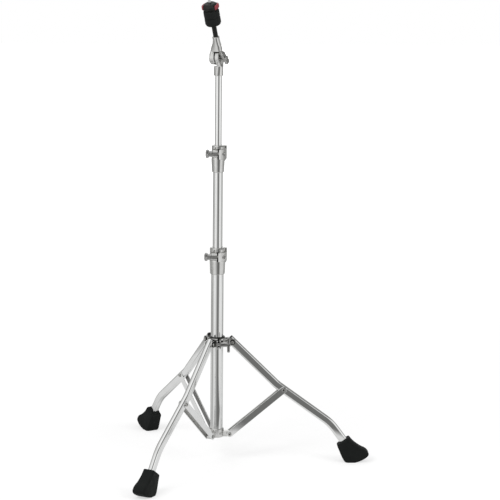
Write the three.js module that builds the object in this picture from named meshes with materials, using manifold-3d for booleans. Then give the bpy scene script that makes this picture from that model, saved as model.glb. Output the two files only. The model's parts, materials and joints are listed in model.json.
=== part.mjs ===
// Straight cymbal stand: three telescoping tubes on a double-braced folding tripod, with a
// tilter, a cymbal rod, felts and a quick-release nut.
// Millimetres, +Z up, floor at z = 0. The right leg points along +X, the others 120 degrees on.
import * as THREE from 'three';
import { mergeVertices } from 'three/addons/utils/BufferGeometryUtils.js';
import Module from 'manifold-3d';

const wasm = await Module();
wasm.setup();

// Driving sizes: tubes
const baseTubeRadius = 14.3;
const middleTubeRadius = 11.1;
const topTubeRadius = 7.95;
const tubeWall = 1.2;
const baseTubeRise = 1;
const middleTubeHidden = 243.3;
const topTubeHidden = 228.5;

// Driving sizes: tripod linkage with the legs open, in the plane of a leg
const lowerPivotRadius = 30.4;
const lowerPivotHeight = 66.2;
const legPivotRadius = 35.3;
const legPivotHeight = 283.5;
const rivetRun = 19.18;
const upperBendRadius = 138;
const upperBendHeight = 182;
const lowerBendRadius = 262.4;
const lowerBendHeight = 91.5;
const footEntryRadius = 292;
const footEntryHeight = 51.5;

// Driving sizes: heights on the column
const baseClampTop = 493.3;
const middleTubeShown = 235.2;
const topTubeShown = 205.5;

// Places that follow from them: the rivet lies on the leg, a run beyond its upper bend
const middleSlope = Math.atan2(lowerBendHeight - upperBendHeight, lowerBendRadius - upperBendRadius);
const rivetRadius = upperBendRadius + rivetRun * Math.cos(middleSlope);
const rivetHeight = upperBendHeight + rivetRun * Math.sin(middleSlope);
const upperClampTop = baseClampTop + middleTubeShown;
const tilterPivotHeight = upperClampTop + topTubeShown;

// Angles
const degree = Math.PI / 180;
const legAngles = { right: 0, back: 120 * degree, front: 240 * degree };
const tilterTurn = -30 * degree;
const rodLean = 20.3 * degree;
const quarterTurn = Math.PI / 2;

// Clearances shared by all pieces
const seatGap = 0.3;
const overrun = 3;
const weldTolerance = 0.0005;

// Counts of facets
const tubeSides = 24;
const smallSides = 12;
const arcSteps = 4;
const legCornerSteps = 3;
const bendSteps = 4;
const footCornerSteps = 2;
const hexSides = 6;

// Materials, with the colours of the photograph
const finish = (looks) => () => new THREE.MeshStandardMaterial(looks);
const chrome = finish({ color: 0xd6d8d6, roughness: 0.12, metalness: 1 });
const castMetal = finish({ color: 0xbfc2be, roughness: 0.22, metalness: 1 });
const zincSteel = finish({ color: 0xa8aaa6, roughness: 0.35, metalness: 1 });
const nylon = finish({ color: 0x1b1c1b, roughness: 0.5, metalness: 0 });
const rubber = finish({ color: 0x2a2e2c, roughness: 0.75, metalness: 0 });
const felt = finish({ color: 0x171918, roughness: 0.95, metalness: 0 });
const redPlastic = finish({ color: 0x9a3c44, roughness: 0.45, metalness: 0 });

// Solids

// Welds a geometry into a closed solid whose faces point out
function solid(geometry) {
  const bare = new THREE.BufferGeometry();
  bare.setAttribute('position', geometry.getAttribute('position').clone());
  if (geometry.index) bare.setIndex(geometry.index.clone());
  const welded = mergeVertices(bare, weldTolerance);
  const at = welded.getAttribute('position').array;
  const corner = (i) => new THREE.Vector3().fromArray(at, 3 * i);
  const triangles = [];
  let volume = 0;
  for (let i = 0; i < welded.index.count; i += 3) {
    const [a, b, c] = [0, 1, 2].map((k) => welded.index.getX(i + k));
    if (a === b || b === c || c === a) continue;
    triangles.push(a, b, c);
    volume += corner(a).dot(corner(b).cross(corner(c)));
  }
  if (volume < 0) triangles.reverse();
  const vertProperties = new Float32Array(at);
  return new wasm.Manifold(new wasm.Mesh({ numProp: 3, vertProperties, triVerts: new Uint32Array(triangles) }));
}

function geometryOf(manifold) {
  const mesh = manifold.getMesh();
  const geometry = new THREE.BufferGeometry();
  geometry.setAttribute('position', new THREE.BufferAttribute(mesh.vertProperties, 3));
  geometry.setIndex(new THREE.BufferAttribute(mesh.triVerts, 1));
  return geometry;
}

const join = (first, ...others) => others.reduce((sum, next) => sum.add(next), first);
const cut = (first, ...tools) => tools.reduce((rest, tool) => rest.subtract(tool), first);

// Turns a closed profile of [radius, height] pairs round the Z axis
function revolve(profile, sides = tubeSides) {
  const points = profile.map(([radius, height]) => new THREE.Vector2(radius, height));
  if (profile[0][0] !== 0) points.push(points[0].clone());
  return new THREE.LatheGeometry(points, sides).rotateX(quarterTurn);
}

function pipe(outer, inner, bottom, top, sides = tubeSides) {
  return revolve([[inner, bottom], [outer, bottom], [outer, top], [inner, top]], sides);
}

function rod(radius, bottom, top, sides = smallSides) {
  return revolve([[0, bottom], [radius, bottom], [radius, top], [0, top]], sides);
}

const alongX = (geometry) => geometry.rotateY(quarterTurn);
const alongY = (geometry) => geometry.rotateX(-quarterTurn);

function box(low, high) {
  const size = high.map((value, axis) => value - low[axis]);
  const middle = high.map((value, axis) => (value + low[axis]) / 2);
  return new THREE.BoxGeometry(...size).translate(...middle);
}

// Extrudes an outline drawn in X and Z to a plate centred on y = 0
function plateXZ(shape, width, bevel = 0) {
  const options = { depth: width - 2 * bevel, curveSegments: arcSteps, bevelEnabled: bevel > 0 };
  if (bevel > 0) {
    Object.assign(options, { bevelSize: bevel, bevelThickness: bevel, bevelOffset: -bevel, bevelSegments: 1 });
  }
  return new THREE.ExtrudeGeometry(shape, options)
    .translate(0, 0, bevel - width / 2)
    .rotateX(quarterTurn);
}

// The same for an outline drawn in Y and Z, centred on x = 0
const plateYZ = (shape, width, bevel = 0) => plateXZ(shape, width, bevel).rotateZ(quarterTurn);

// A bar outline whose two ends are round
function roundEndedBar(from, to, radius) {
  const shape = new THREE.Shape();
  shape.absarc(to, 0, radius, -quarterTurn, quarterTurn, false);
  shape.absarc(from, 0, radius, quarterTurn, 3 * quarterTurn, false);
  return shape;
}

// A rectangle with round corners
function roundedRectangle(left, right, bottom, top, radius) {
  const shape = new THREE.Shape();
  shape.absarc(right - radius, bottom + radius, radius, -quarterTurn, 0, false);
  shape.absarc(right - radius, top - radius, radius, 0, quarterTurn, false);
  shape.absarc(left + radius, top - radius, radius, quarterTurn, 2 * quarterTurn, false);
  shape.absarc(left + radius, bottom + radius, radius, 2 * quarterTurn, 3 * quarterTurn, false);
  return shape;
}

// Skins rings of equal count; the ends are closed flat, or the last ring meets the first
function loft(rings, closed = false) {
  const count = rings[0].length;
  const positions = rings.flat().flatMap((point) => point.toArray());
  const index = [];
  const spans = closed ? rings.length : rings.length - 1;
  for (let i = 0; i < spans; i += 1) {
    const near = i * count;
    const far = ((i + 1) % rings.length) * count;
    for (let j = 0; j < count; j += 1) {
      const k = (j + 1) % count;
      index.push(near + j, near + k, far + k, near + j, far + k, far + j);
    }
  }
  if (!closed) {
    const last = (rings.length - 1) * count;
    for (let j = 1; j < count - 1; j += 1) {
      index.push(0, j + 1, j, last, last + j, last + j + 1);
    }
  }
  const geometry = new THREE.BufferGeometry();
  geometry.setAttribute('position', new THREE.Float32BufferAttribute(positions, 3));
  geometry.setIndex(index);
  return geometry;
}

// Stations along a line of [x, z] corners whose inner corners are bent to their radii
function bentPath(corners, bendRadii) {
  const heading = (a, b) => Math.atan2(b[1] - a[1], b[0] - a[0]);
  const stations = [{ x: corners[0][0], z: corners[0][1], heading: heading(corners[0], corners[1]) }];
  for (let i = 1; i < corners.length - 1; i += 1) {
    const before = heading(corners[i - 1], corners[i]);
    const after = heading(corners[i], corners[i + 1]);
    const turn = after - before;
    const side = Math.sign(turn);
    const radius = bendRadii[i - 1];
    const run = radius * Math.tan(Math.abs(turn) / 2);
    const centreX = corners[i][0] - run * Math.cos(before) - side * radius * Math.sin(before);
    const centreZ = corners[i][1] - run * Math.sin(before) + side * radius * Math.cos(before);
    for (let k = 0; k <= bendSteps; k += 1) {
      const angle = before + (turn * k) / bendSteps;
      stations.push({
        x: centreX + side * radius * Math.sin(angle),
        z: centreZ - side * radius * Math.cos(angle),
        heading: angle,
      });
    }
  }
  const [last, beforeLast] = [corners.at(-1), corners.at(-2)];
  stations.push({ x: last[0], z: last[1], heading: heading(beforeLast, last) });
  return stations;
}

// A ring of [across, sideways] section points set square to a station
function ringAt(station, section) {
  const [sine, cosine] = [Math.sin(station.heading), Math.cos(station.heading)];
  return section.map(([across, sideways]) => (
    new THREE.Vector3(station.x - across * sine, sideways, station.z + across * cosine)
  ));
}

// Stands a named solid in its group
function stand(group, name, manifold, material) {
  const mesh = new THREE.Mesh(geometryOf(manifold), material);
  mesh.name = name;
  group.add(mesh);
  return mesh;
}

function groupAt(parent, x, y, z, turn = 0) {
  const group = new THREE.Group();
  group.position.set(x, y, z);
  group.rotation.z = turn;
  parent.add(group);
  return group;
}

// Wing nuts and wing bolts

const boltRadius = 3;
const wingHubEdge = 0.8;
const wingHubTipShare = 0.84;
const wingThickness = 6.5;
const wingEdge = 1.5;
const wingWaistShare = 0.82;

// A wing across a tapered hub along +X, which starts at its seat. The wing stands between start
// and its thickness further on; its two round lobes reach to each side and narrow to a waist
function wingBody(size) {
  const tip = size.hubRadius * wingHubTipShare;
  const hub = revolve([
    [0, 0],
    [size.hubRadius, 0],
    [size.hubRadius, wingHubEdge],
    [tip, size.hubLength - wingHubEdge],
    [tip - wingHubEdge, size.hubLength],
    [0, size.hubLength],
  ], smallSides);
  const lobe = size.reach - size.lobeRadius;
  const waist = size.lobeRadius * wingWaistShare;
  const shape = new THREE.Shape();
  shape.moveTo(waist, 0);
  shape.quadraticCurveTo(waist, lobe / 2, size.lobeRadius, lobe);
  shape.absarc(0, lobe, size.lobeRadius, 0, 2 * quarterTurn, false);
  shape.quadraticCurveTo(-waist, lobe / 2, -waist, 0);
  shape.quadraticCurveTo(-waist, -lobe / 2, -size.lobeRadius, -lobe);
  shape.absarc(0, -lobe, size.lobeRadius, 2 * quarterTurn, 4 * quarterTurn, false);
  shape.quadraticCurveTo(waist, -lobe / 2, waist, 0);
  const wing = plateYZ(shape, wingThickness, wingEdge).translate(size.start + wingThickness / 2, 0, 0);
  return join(solid(alongX(hub)), solid(wing));
}

function wingNut(size) {
  const hole = alongX(rod(boltRadius + seatGap, -overrun, size.hubLength + overrun));
  return cut(wingBody(size), solid(hole));
}

// A wing bolt also has a shank that runs back from its seat
function wingBolt(size, shankLength) {
  const shank = alongX(rod(boltRadius, -shankLength, boltRadius));
  return join(wingBody(size), solid(shank));
}

// Tube clamps and stop locks

const bandSlit = 1.4;
const clampSlot = 3;
const clampBoltDrop = 9.6;
const clampEarRadius = 8.8;
const clampEarEdge = 1;
const clampEdge = 1.4;
const clampBoltWall = 0.8;
const socketDepth = 28;
const ribWidth = 8;
const ribTail = 7;
const noseReachShare = 0.74;
const noseDropShare = 0.83;
const boltHeadRadius = 4.4;
const boltHeadHeight = 3.4;
const stopLockEdge = 0.8;
const lockShoulder = 2.6;
const lockSplit = 1.2;
const stopScrewRadius = 1.8;
const stopScrewTurn = -72 * degree;
const clampWing = { hubRadius: 7.4, hubLength: 15.4, start: 7.8, reach: 17.5, lobeRadius: 6.2 };
const clampWingTurn = -62 * degree;

const baseClamp = {
  prefix: 'base_clamp',
  lock: 'lower_stop_lock',
  outerTube: baseTubeRadius,
  innerTube: middleTubeRadius,
  bandRadius: 17.4,
  shoulderRadius: 17.8,
  footRadius: 16.8,
  footDrop: 52,
  bandHeight: 20,
  ribReach: 21.3,
  leftEar: 14.6,
  rightEar: 18,
  headSeat: 10.5,
  lockHeight: 9,
};
const upperClamp = {
  prefix: 'upper_clamp',
  lock: 'upper_stop_lock',
  outerTube: middleTubeRadius,
  innerTube: topTubeRadius,
  bandRadius: 14.6,
  shoulderRadius: 15.2,
  footRadius: 13.7,
  footDrop: 53.5,
  bandHeight: 21.4,
  ribReach: 19.6,
  leftEar: 12.9,
  rightEar: 15.5,
  headSeat: 9,
  lockHeight: 7.6,
};
const clampBore = (spec) => spec.outerTube + seatGap;
const clampBoltOffset = (spec) => clampBore(spec) + boltRadius + clampBoltWall;

// A rib down the right-hand side of a band or lock
function sideRib(spec, bottom, top) {
  const shape = new THREE.Shape();
  const tail = Math.max(0, -spec.bandHeight - bottom);
  shape.moveTo(0, bottom);
  shape.lineTo(tail > 0 ? spec.shoulderRadius - stopLockEdge : spec.ribReach, bottom);
  shape.lineTo(spec.ribReach, bottom + tail);
  shape.lineTo(spec.ribReach, top);
  shape.lineTo(0, top);
  return solid(plateXZ(shape, ribWidth, stopLockEdge));
}

// Clamp casting with its top at z = 0: a tapered socket below, a slotted band with two ears above
function clampCasting(spec) {
  const bore = clampBore(spec);
  const offset = clampBoltOffset(spec);
  const shell = revolve([
    [0, -spec.footDrop],
    [spec.footRadius - clampEdge, -spec.footDrop],
    [spec.footRadius, clampEdge - spec.footDrop],
    [spec.shoulderRadius, -spec.bandHeight - bandSlit - clampEdge],
    [spec.shoulderRadius, -spec.bandHeight - bandSlit],
    [spec.bandRadius, -spec.bandHeight],
    [spec.bandRadius, -stopLockEdge],
    [spec.bandRadius - stopLockEdge, 0],
    [0, 0],
  ]);
  const ear = new THREE.Shape();
  ear.moveTo(0, clampEarRadius - clampBoltDrop);
  ear.lineTo(-offset, clampEarRadius - clampBoltDrop);
  ear.absarc(-offset, -clampBoltDrop, clampEarRadius, quarterTurn, 3 * quarterTurn, false);
  ear.lineTo(0, -clampEarRadius - clampBoltDrop);
  const leftEar = plateYZ(ear, spec.leftEar, clampEarEdge).translate(-spec.leftEar / 2, 0, 0);
  const nose = offset + clampEarRadius;
  const block = new THREE.Shape();
  block.moveTo(0, 0);
  block.lineTo(0, -nose);
  block.lineTo(clampSlot / 2, -nose);
  block.quadraticCurveTo(spec.rightEar * noseReachShare, -nose * noseDropShare, spec.rightEar, -spec.outerTube);
  block.lineTo(spec.ribReach - stopLockEdge, -ribWidth / 2);
  block.lineTo(spec.ribReach - stopLockEdge, 0);
  const rightEar = new THREE.ExtrudeGeometry(block, {
    depth: spec.bandHeight,
    curveSegments: arcSteps,
    bevelEnabled: false,
  }).translate(0, 0, -spec.bandHeight);
  const hole = alongX(rod(boltRadius + seatGap, -spec.ribReach, spec.ribReach))
    .translate(0, -offset, -clampBoltDrop);
  const headPocket = alongX(rod(boltHeadRadius + seatGap, spec.headSeat, spec.ribReach + overrun))
    .translate(0, -offset, -clampBoltDrop);
  const far = offset + clampEarRadius + overrun;
  return cut(
    join(solid(shell), solid(leftEar), solid(rightEar), sideRib(spec, -spec.bandHeight - ribTail, 0)),
    solid(rod(bore, -spec.footDrop - overrun, overrun, tubeSides)),
    solid(box([-clampSlot / 2, -far, -spec.bandHeight], [clampSlot / 2, 0, overrun])),
    solid(box(
      [-clampSlot / 2, -far, -spec.bandHeight - bandSlit],
      [far, -ribWidth / 2, -spec.bandHeight],
    )),
    solid(hole),
    solid(headPocket),
  );
}

// Nylon bush that grips the inner tube inside the band
function clampBush(spec) {
  return solid(pipe(spec.outerTube, spec.innerTube + seatGap, seatGap - socketDepth + clampEdge, 0));
}

// Round-headed bolt across the ears, its head let into the right-hand one
function clampBolt(spec) {
  const headStart = spec.headSeat + seatGap;
  const head = alongX(rod(boltHeadRadius, headStart, headStart + boltHeadHeight));
  const shank = alongX(rod(boltRadius, -spec.leftEar - clampWing.hubLength, headStart + boltHeadHeight / 2));
  return join(solid(head), solid(shank));
}

// Stop lock: a ring on top of the clamp that marks the height of the tube it holds
function stopLock(spec) {
  const ring = revolve([
    [0, 0],
    [spec.bandRadius, 0],
    [spec.bandRadius, spec.lockHeight - lockShoulder],
    [spec.bandRadius - lockShoulder / 3, spec.lockHeight - lockShoulder / 3],
    [spec.bandRadius - lockShoulder, spec.lockHeight],
    [0, spec.lockHeight],
  ]);
  const split = box(
    [-lockSplit / 2, -spec.bandRadius - overrun, -overrun],
    [lockSplit / 2, 0, spec.lockHeight + overrun],
  );
  const screwHole = alongX(rod(stopScrewRadius + seatGap, 0, spec.ribReach))
    .rotateZ(stopScrewTurn).translate(0, 0, spec.lockHeight / 2 - stopLockEdge);
  return cut(
    join(solid(ring), sideRib(spec, 0, spec.lockHeight)),
    solid(rod(spec.innerTube + seatGap, -overrun, spec.lockHeight + overrun, tubeSides)),
    solid(split),
    solid(screwHole),
  );
}

// Key screw that holds the stop lock on its tube
function stopLockScrew(spec) {
  const screw = alongX(rod(stopScrewRadius, spec.innerTube + seatGap, spec.bandRadius - stopLockEdge));
  return solid(screw.rotateZ(stopScrewTurn).translate(0, 0, spec.lockHeight / 2 - stopLockEdge));
}

// A whole clamp: casting, bush, bolt, wing nut, stop lock and its screw
function addClamp(parent, spec, top) {
  const clamp = groupAt(parent, 0, 0, top);
  stand(clamp, spec.prefix, clampCasting(spec), castMetal());
  stand(clamp, `${spec.prefix}_bush`, clampBush(spec), nylon());
  const across = groupAt(clamp, 0, -clampBoltOffset(spec), -clampBoltDrop);
  stand(across, `${spec.prefix}_bolt`, clampBolt(spec), zincSteel());
  const wing = groupAt(across, -spec.leftEar - seatGap, 0, 0, 2 * quarterTurn);
  const nut = stand(wing, `${spec.prefix}_wing_nut`, wingNut(clampWing), castMetal());
  nut.rotation.x = clampWingTurn;
  const lock = groupAt(clamp, 0, 0, seatGap);
  stand(lock, spec.lock, stopLock(spec), castMetal());
  stand(lock, `${spec.lock}_screw`, stopLockScrew(spec), zincSteel());
}

// Column tubes

function addTubes(parent) {
  const socket = socketDepth - clampEdge;
  const baseBottom = lowerCollarBottom + baseTubeRise;
  const base = pipe(baseTubeRadius, baseTubeRadius - tubeWall, baseBottom, baseClampTop - socket);
  stand(parent, 'base_tube', solid(base), chrome());
  const middleBottom = baseClampTop - middleTubeHidden;
  const middle = pipe(middleTubeRadius, middleTubeRadius - tubeWall, middleBottom, upperClampTop - socket);
  stand(parent, 'middle_tube', solid(middle), chrome());
  const topBottom = upperClampTop - topTubeHidden;
  const top = pipe(topTubeRadius, topTubeRadius - tubeWall, topBottom, holderBottom + holderBore);
  stand(parent, 'top_tube', solid(top), chrome());
}

// Lower collar

const lowerCollarRadius = 16.8;
const lowerCollarRise = 13.4;
const lowerCollarDrop = 6.8;
const lowerCollarTop = lowerPivotHeight + lowerCollarRise;
const lowerCollarBottom = lowerPivotHeight - lowerCollarDrop;
const collarEdge = 1;
const lugWidth = 12.4;
const lugRadius = 6.4;
const pinRadius = 3;
const setScrewRadius = 2.2;
const setScrewTurn = -60 * degree;

// Collar on the foot of the base tube, with three lugs that carry the braces
function lowerCollar() {
  const ring = revolve([
    [0, lowerCollarBottom],
    [lowerCollarRadius - collarEdge, lowerCollarBottom],
    [lowerCollarRadius, lowerCollarBottom + collarEdge],
    [lowerCollarRadius, lowerCollarTop - collarEdge],
    [lowerCollarRadius - collarEdge, lowerCollarTop],
    [0, lowerCollarTop],
  ]);
  const screwHeight = (lowerCollarTop + lowerCollarBottom) / 2;
  const lug = () => {
    const shape = roundEndedBar(0, lowerPivotRadius, lugRadius);
    return plateXZ(shape, lugWidth, collarEdge).translate(0, 0, lowerPivotHeight);
  };
  const hole = () => alongY(rod(pinRadius + seatGap, -lugWidth, lugWidth))
    .translate(lowerPivotRadius, 0, lowerPivotHeight);
  const turned = (make) => Object.values(legAngles).map((angle) => solid(make().rotateZ(angle)));
  const screwHole = alongX(rod(setScrewRadius + seatGap, 0, lowerPivotRadius))
    .rotateZ(setScrewTurn).translate(0, 0, screwHeight);
  const bore = rod(baseTubeRadius + seatGap, lowerCollarBottom - overrun, lowerCollarTop + overrun, tubeSides);
  return cut(join(solid(ring), ...turned(lug)), solid(bore), ...turned(hole), solid(screwHole));
}

function lowerCollarScrew() {
  const screw = alongX(rod(setScrewRadius, baseTubeRadius + seatGap, lowerCollarRadius - collarEdge / 2));
  return solid(screw.rotateZ(setScrewTurn).translate(0, 0, (lowerCollarTop + lowerCollarBottom) / 2));
}

// Braces: pairs of flat bars that straddle the lugs at one end and the legs at the other

const legHeight = 19;
const legWidth = 13;
const legWall = 1.5;
const legCorner = 5;
const braceWall = 2;
const braceSide = 14.5;
const braceEdge = 0.5;
const braceClearance = 0.3;
const rivetHeadRadius = 4.6;
const rivetHeadHeight = 1.8;
const rivetDimpleRadius = 1.5;
const rivetDimpleDepth = 1;
const braceInner = legWidth + 2 * braceClearance;
const braceOuter = braceInner + 2 * braceWall;

const braceSpan = Math.hypot(rivetRadius - lowerPivotRadius, rivetHeight - lowerPivotHeight);
const bracePitch = Math.atan2(rivetHeight - lowerPivotHeight, rivetRadius - lowerPivotRadius);

// One bar of a brace, along +X from its lower pivot; side 1 or -1 says which side of the leg it takes
function braceBar(side) {
  const outline = roundEndedBar(0, braceSpan, braceSide / 2);
  const bar = plateXZ(outline, braceWall, braceEdge).translate(0, side * (braceOuter - braceWall) / 2, 0);
  const hole = (x) => solid(alongY(rod(pinRadius + seatGap, -braceOuter, braceOuter)).translate(x, 0, 0));
  return cut(solid(bar), hole(0), hole(braceSpan));
}

// Rivet along Y through both bars of a brace, with a dimple in each head
function rivet() {
  const seat = braceOuter / 2 + seatGap;
  const end = seat + rivetHeadHeight;
  const edge = rivetHeadHeight / 2;
  return solid(alongY(revolve([
    [0, rivetDimpleDepth - end],
    [rivetDimpleRadius, rivetDimpleDepth - end],
    [rivetDimpleRadius, -end],
    [rivetHeadRadius - edge, -end],
    [rivetHeadRadius, edge - end],
    [rivetHeadRadius, -seat],
    [pinRadius, -seat],
    [pinRadius, seat],
    [rivetHeadRadius, seat],
    [rivetHeadRadius, end - edge],
    [rivetHeadRadius - edge, end],
    [rivetDimpleRadius, end],
    [rivetDimpleRadius, end - rivetDimpleDepth],
    [0, end - rivetDimpleDepth],
  ], smallSides)));
}

// Legs

const legEndReach = 9;
const legBendInFoot = 38;
const upperBendArc = 90;
const lowerBendArc = 110;
const plugDepth = 9;
const plugCap = 1.6;

// Section points of a leg grown by a margin: flat sides joined by round corners
function legSection(margin) {
  const radius = legCorner + margin;
  const acrossMiddle = legHeight / 2 - legCorner;
  const sideMiddle = legWidth / 2 - legCorner;
  return [[1, 1], [1, -1], [-1, -1], [-1, 1]].flatMap(([up, side], corner) => (
    Array.from({ length: legCornerSteps + 1 }, (_, k) => {
      const angle = (corner + k / legCornerSteps) * quarterTurn;
      return [up * acrossMiddle + radius * Math.sin(angle), side * sideMiddle + radius * Math.cos(angle)];
    })
  ));
}

const legSlope = Math.atan2(upperBendHeight - legPivotHeight, upperBendRadius - legPivotRadius);
const footSlope = Math.atan2(footEntryHeight - lowerBendHeight, footEntryRadius - lowerBendRadius);
const legTop = [
  legPivotRadius - legEndReach * Math.cos(legSlope),
  legPivotHeight - legEndReach * Math.sin(legSlope),
];
const legFoot = [
  footEntryRadius + legBendInFoot * Math.cos(footSlope),
  footEntryHeight + legBendInFoot * Math.sin(footSlope),
];

function leg() {
  const corners = [legTop, [upperBendRadius, upperBendHeight], [lowerBendRadius, lowerBendHeight], legFoot];
  const stations = bentPath(corners, [upperBendArc, lowerBendArc]);
  const outer = stations.map((station) => ringAt(station, legSection(0)));
  const inner = stations.map((station) => ringAt(station, legSection(-legWall)));
  const tube = solid(loft([...outer, ...inner.reverse()], true));
  const hole = alongY(rod(pinRadius + seatGap, -legWidth, legWidth)).translate(rivetRadius, 0, rivetHeight);
  return cut(tube, solid(hole));
}

// Plug in the open top end of a leg
function legPlug() {
  const station = (run) => ({
    x: legTop[0] + run * Math.cos(legSlope),
    z: legTop[1] + run * Math.sin(legSlope),
    heading: legSlope,
  });
  const stem = -legWall - seatGap;
  return solid(loft([
    ringAt(station(-plugCap - seatGap), legSection(-legWall / 2)),
    ringAt(station(-plugCap / 2 - seatGap), legSection(0)),
    ringAt(station(-seatGap), legSection(0)),
    ringAt(station(-seatGap), legSection(stem)),
    ringAt(station(plugDepth), legSection(stem)),
  ]));
}

// Feet

const footCollarWidth = 28;
const footSoleWidth = 32;
const footCorner = 6;
const footReach = 60;
const footSocketDepth = 40;
// Inner and outer edges of the boot from its collar to its sole, as shares of footReach out from
// the collar's middle and of its height above the floor, then the share of the sole's width
const footEdgeShares = [
  { inner: [-0.235, 0.77], outer: [0.23, 1.145], width: 0 },
  { inner: [-0.15, 0.53], outer: [0.4, 0.92], width: 0.2 },
  { inner: [-0.07, 0.31], outer: [0.65, 0.7], width: 0.55 },
  { inner: [0.0, 0.15], outer: [0.88, 0.56], width: 0.9 },
  { inner: [0.045, 0.06], outer: [0.99, 0.39], width: 1 },
  { inner: [0.09, 0.01], outer: [0.93, 0.243], width: 0.97 },
  { inner: [0.11, -0.02], outer: [0.72, 0.09], width: 0.85 },
  { inner: [0.14, -0.05], outer: [0.45, -0.02], width: 0.7 },
];

// One ring of the boot: a rectangle with round corners between its inner and outer edges
function footRing(share) {
  const point = ([out, up]) => new THREE.Vector3(footEntryRadius + out * footReach, 0, up * footEntryHeight);
  const inner = point(share.inner);
  const outer = point(share.outer);
  const middle = inner.clone().add(outer).multiplyScalar(0.5);
  const along = outer.clone().sub(inner).normalize();
  const halfLength = inner.distanceTo(outer) / 2;
  const halfWidth = (footCollarWidth + (footSoleWidth - footCollarWidth) * share.width) / 2;
  const ring = [];
  for (const [sx, sy, start] of [[1, 1, 0], [-1, 1, 1], [-1, -1, 2], [1, -1, 3]]) {
    for (let k = 0; k <= footCornerSteps; k += 1) {
      const angle = (start + k / footCornerSteps) * quarterTurn;
      const length = sx * (halfLength - footCorner) + footCorner * Math.cos(angle);
      const width = sy * (halfWidth - footCorner) + footCorner * Math.sin(angle);
      ring.push(middle.clone().addScaledVector(along, length).setY(width));
    }
  }
  return ring;
}

// Flared rubber boot, cut flat where it stands, with a socket for the leg
function foot() {
  const boot = solid(loft(footEdgeShares.map(footRing)));
  const reach = footEntryRadius + 2 * footReach;
  const floor = solid(box([0, -footSoleWidth, -footEntryHeight], [reach, footSoleWidth, 0]));
  const station = (run) => ({
    x: footEntryRadius + run * Math.cos(footSlope),
    z: footEntryHeight + run * Math.sin(footSlope),
    heading: footSlope,
  });
  const socket = loft([
    ringAt(station(-footSocketDepth), legSection(seatGap)),
    ringAt(station(footSocketDepth), legSection(seatGap)),
  ]);
  return cut(boot, floor, solid(socket));
}

// Leg collar

const legCollarRadius = 19.3;
const legCollarDrop = 10.5;
const legCollarRise = 9.7;
const legCollarBottom = legPivotHeight - legCollarDrop;
const legCollarTop = legPivotHeight + legCollarRise;
const bushWall = 1.8;
const bushFlangeRadius = 18.4;
const bushFlangeHeight = 2.4;
const cheekWall = 2.5;
const cheekClearance = 0.5;
const cheekRadius = 7.6;
const legCollarSlotCentre = 3.5;
const legCollarSlot = 4;
const legCollarEarWall = 3;
const legCollarEarReach = 36.5;
const legCollarEarCorner = 3;
const windowSill = 3.4;
const windowLintel = 4;
const windowLeft = 7.5;
const windowRight = 13.5;
const windowDepth = 9.6;
const legCollarBoltOffset = 31.4;
const legCollarBoltDrop = 10.2;
const legCollarWing = { hubRadius: 5.9, hubLength: 21.4, start: 13.8, reach: 18.4, lobeRadius: 5.8 };
const pivotWasherRadius = 5.9;
const pivotWasherHeight = 1;
const pivotHeadRadius = 3.8;
const pivotHeadHeight = 2;

const cheekInside = legWidth / 2 + cheekClearance;
const cheekOutside = cheekInside + cheekWall;
const legCollarBore = baseTubeRadius + seatGap + bushWall + seatGap;

// Sliding collar with a pair of cheeks for each leg and a split front that the wing bolt closes
function legCollar() {
  const ring = revolve([
    [0, legCollarBottom],
    [legCollarRadius - collarEdge, legCollarBottom],
    [legCollarRadius, legCollarBottom + collarEdge],
    [legCollarRadius, legCollarTop - collarEdge],
    [legCollarRadius - collarEdge, legCollarTop],
    [0, legCollarTop],
  ]);
  const cheeks = (side) => () => plateXZ(roundEndedBar(0, legPivotRadius, cheekRadius), cheekWall)
    .translate(0, side * (cheekInside + cheekWall / 2), legPivotHeight);
  const turned = (make) => Object.values(legAngles).map((angle) => solid(make().rotateZ(angle)));
  const earWidth = legCollarSlot + 2 * legCollarEarWall;
  const ear = roundedRectangle(
    -legCollarEarReach, 0, legCollarBottom, legCollarTop - collarEdge, legCollarEarCorner,
  );
  const ears = plateYZ(ear, earWidth).translate(legCollarSlotCentre, 0, 0);
  const bore = rod(legCollarBore, legCollarBottom - overrun, legCollarTop + overrun, tubeSides);
  const slotLeft = legCollarSlotCentre - legCollarSlot / 2;
  const slot = box(
    [slotLeft, -legCollarEarReach - overrun, legCollarBottom - overrun],
    [slotLeft + legCollarSlot, 0, legCollarTop + overrun],
  );
  const boltHole = alongX(rod(boltRadius + seatGap, -earWidth, earWidth))
    .translate(legCollarSlotCentre, -legCollarBoltOffset, legCollarTop - legCollarBoltDrop);
  const window = (from, to) => solid(box(
    [from, -legCollarRadius - overrun, legCollarBottom + windowSill],
    [to, -windowDepth, legCollarTop - windowLintel],
  ));
  const earLeft = legCollarSlotCentre - earWidth / 2;
  const pivotHole = () => alongY(rod(pinRadius + seatGap, -legPivotRadius, legPivotRadius))
    .translate(legPivotRadius, 0, legPivotHeight);
  return cut(
    join(solid(ring), ...turned(cheeks(1)), ...turned(cheeks(-1)), solid(ears)),
    solid(bore),
    solid(slot),
    window(-windowLeft, earLeft),
    window(earLeft + earWidth, windowRight),
    solid(boltHole),
    ...turned(pivotHole),
  );
}

// Nylon bush inside the collar, with the flange that shows on its top
function legCollarBush() {
  const inner = baseTubeRadius + seatGap;
  const seat = legCollarTop + seatGap;
  return solid(revolve([
    [inner, legCollarBottom],
    [inner + bushWall, legCollarBottom],
    [inner + bushWall, seat],
    [bushFlangeRadius, seat],
    [bushFlangeRadius, seat + bushFlangeHeight - collarEdge],
    [bushFlangeRadius - collarEdge, seat + bushFlangeHeight],
    [inner, seat + bushFlangeHeight],
  ]));
}

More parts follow.
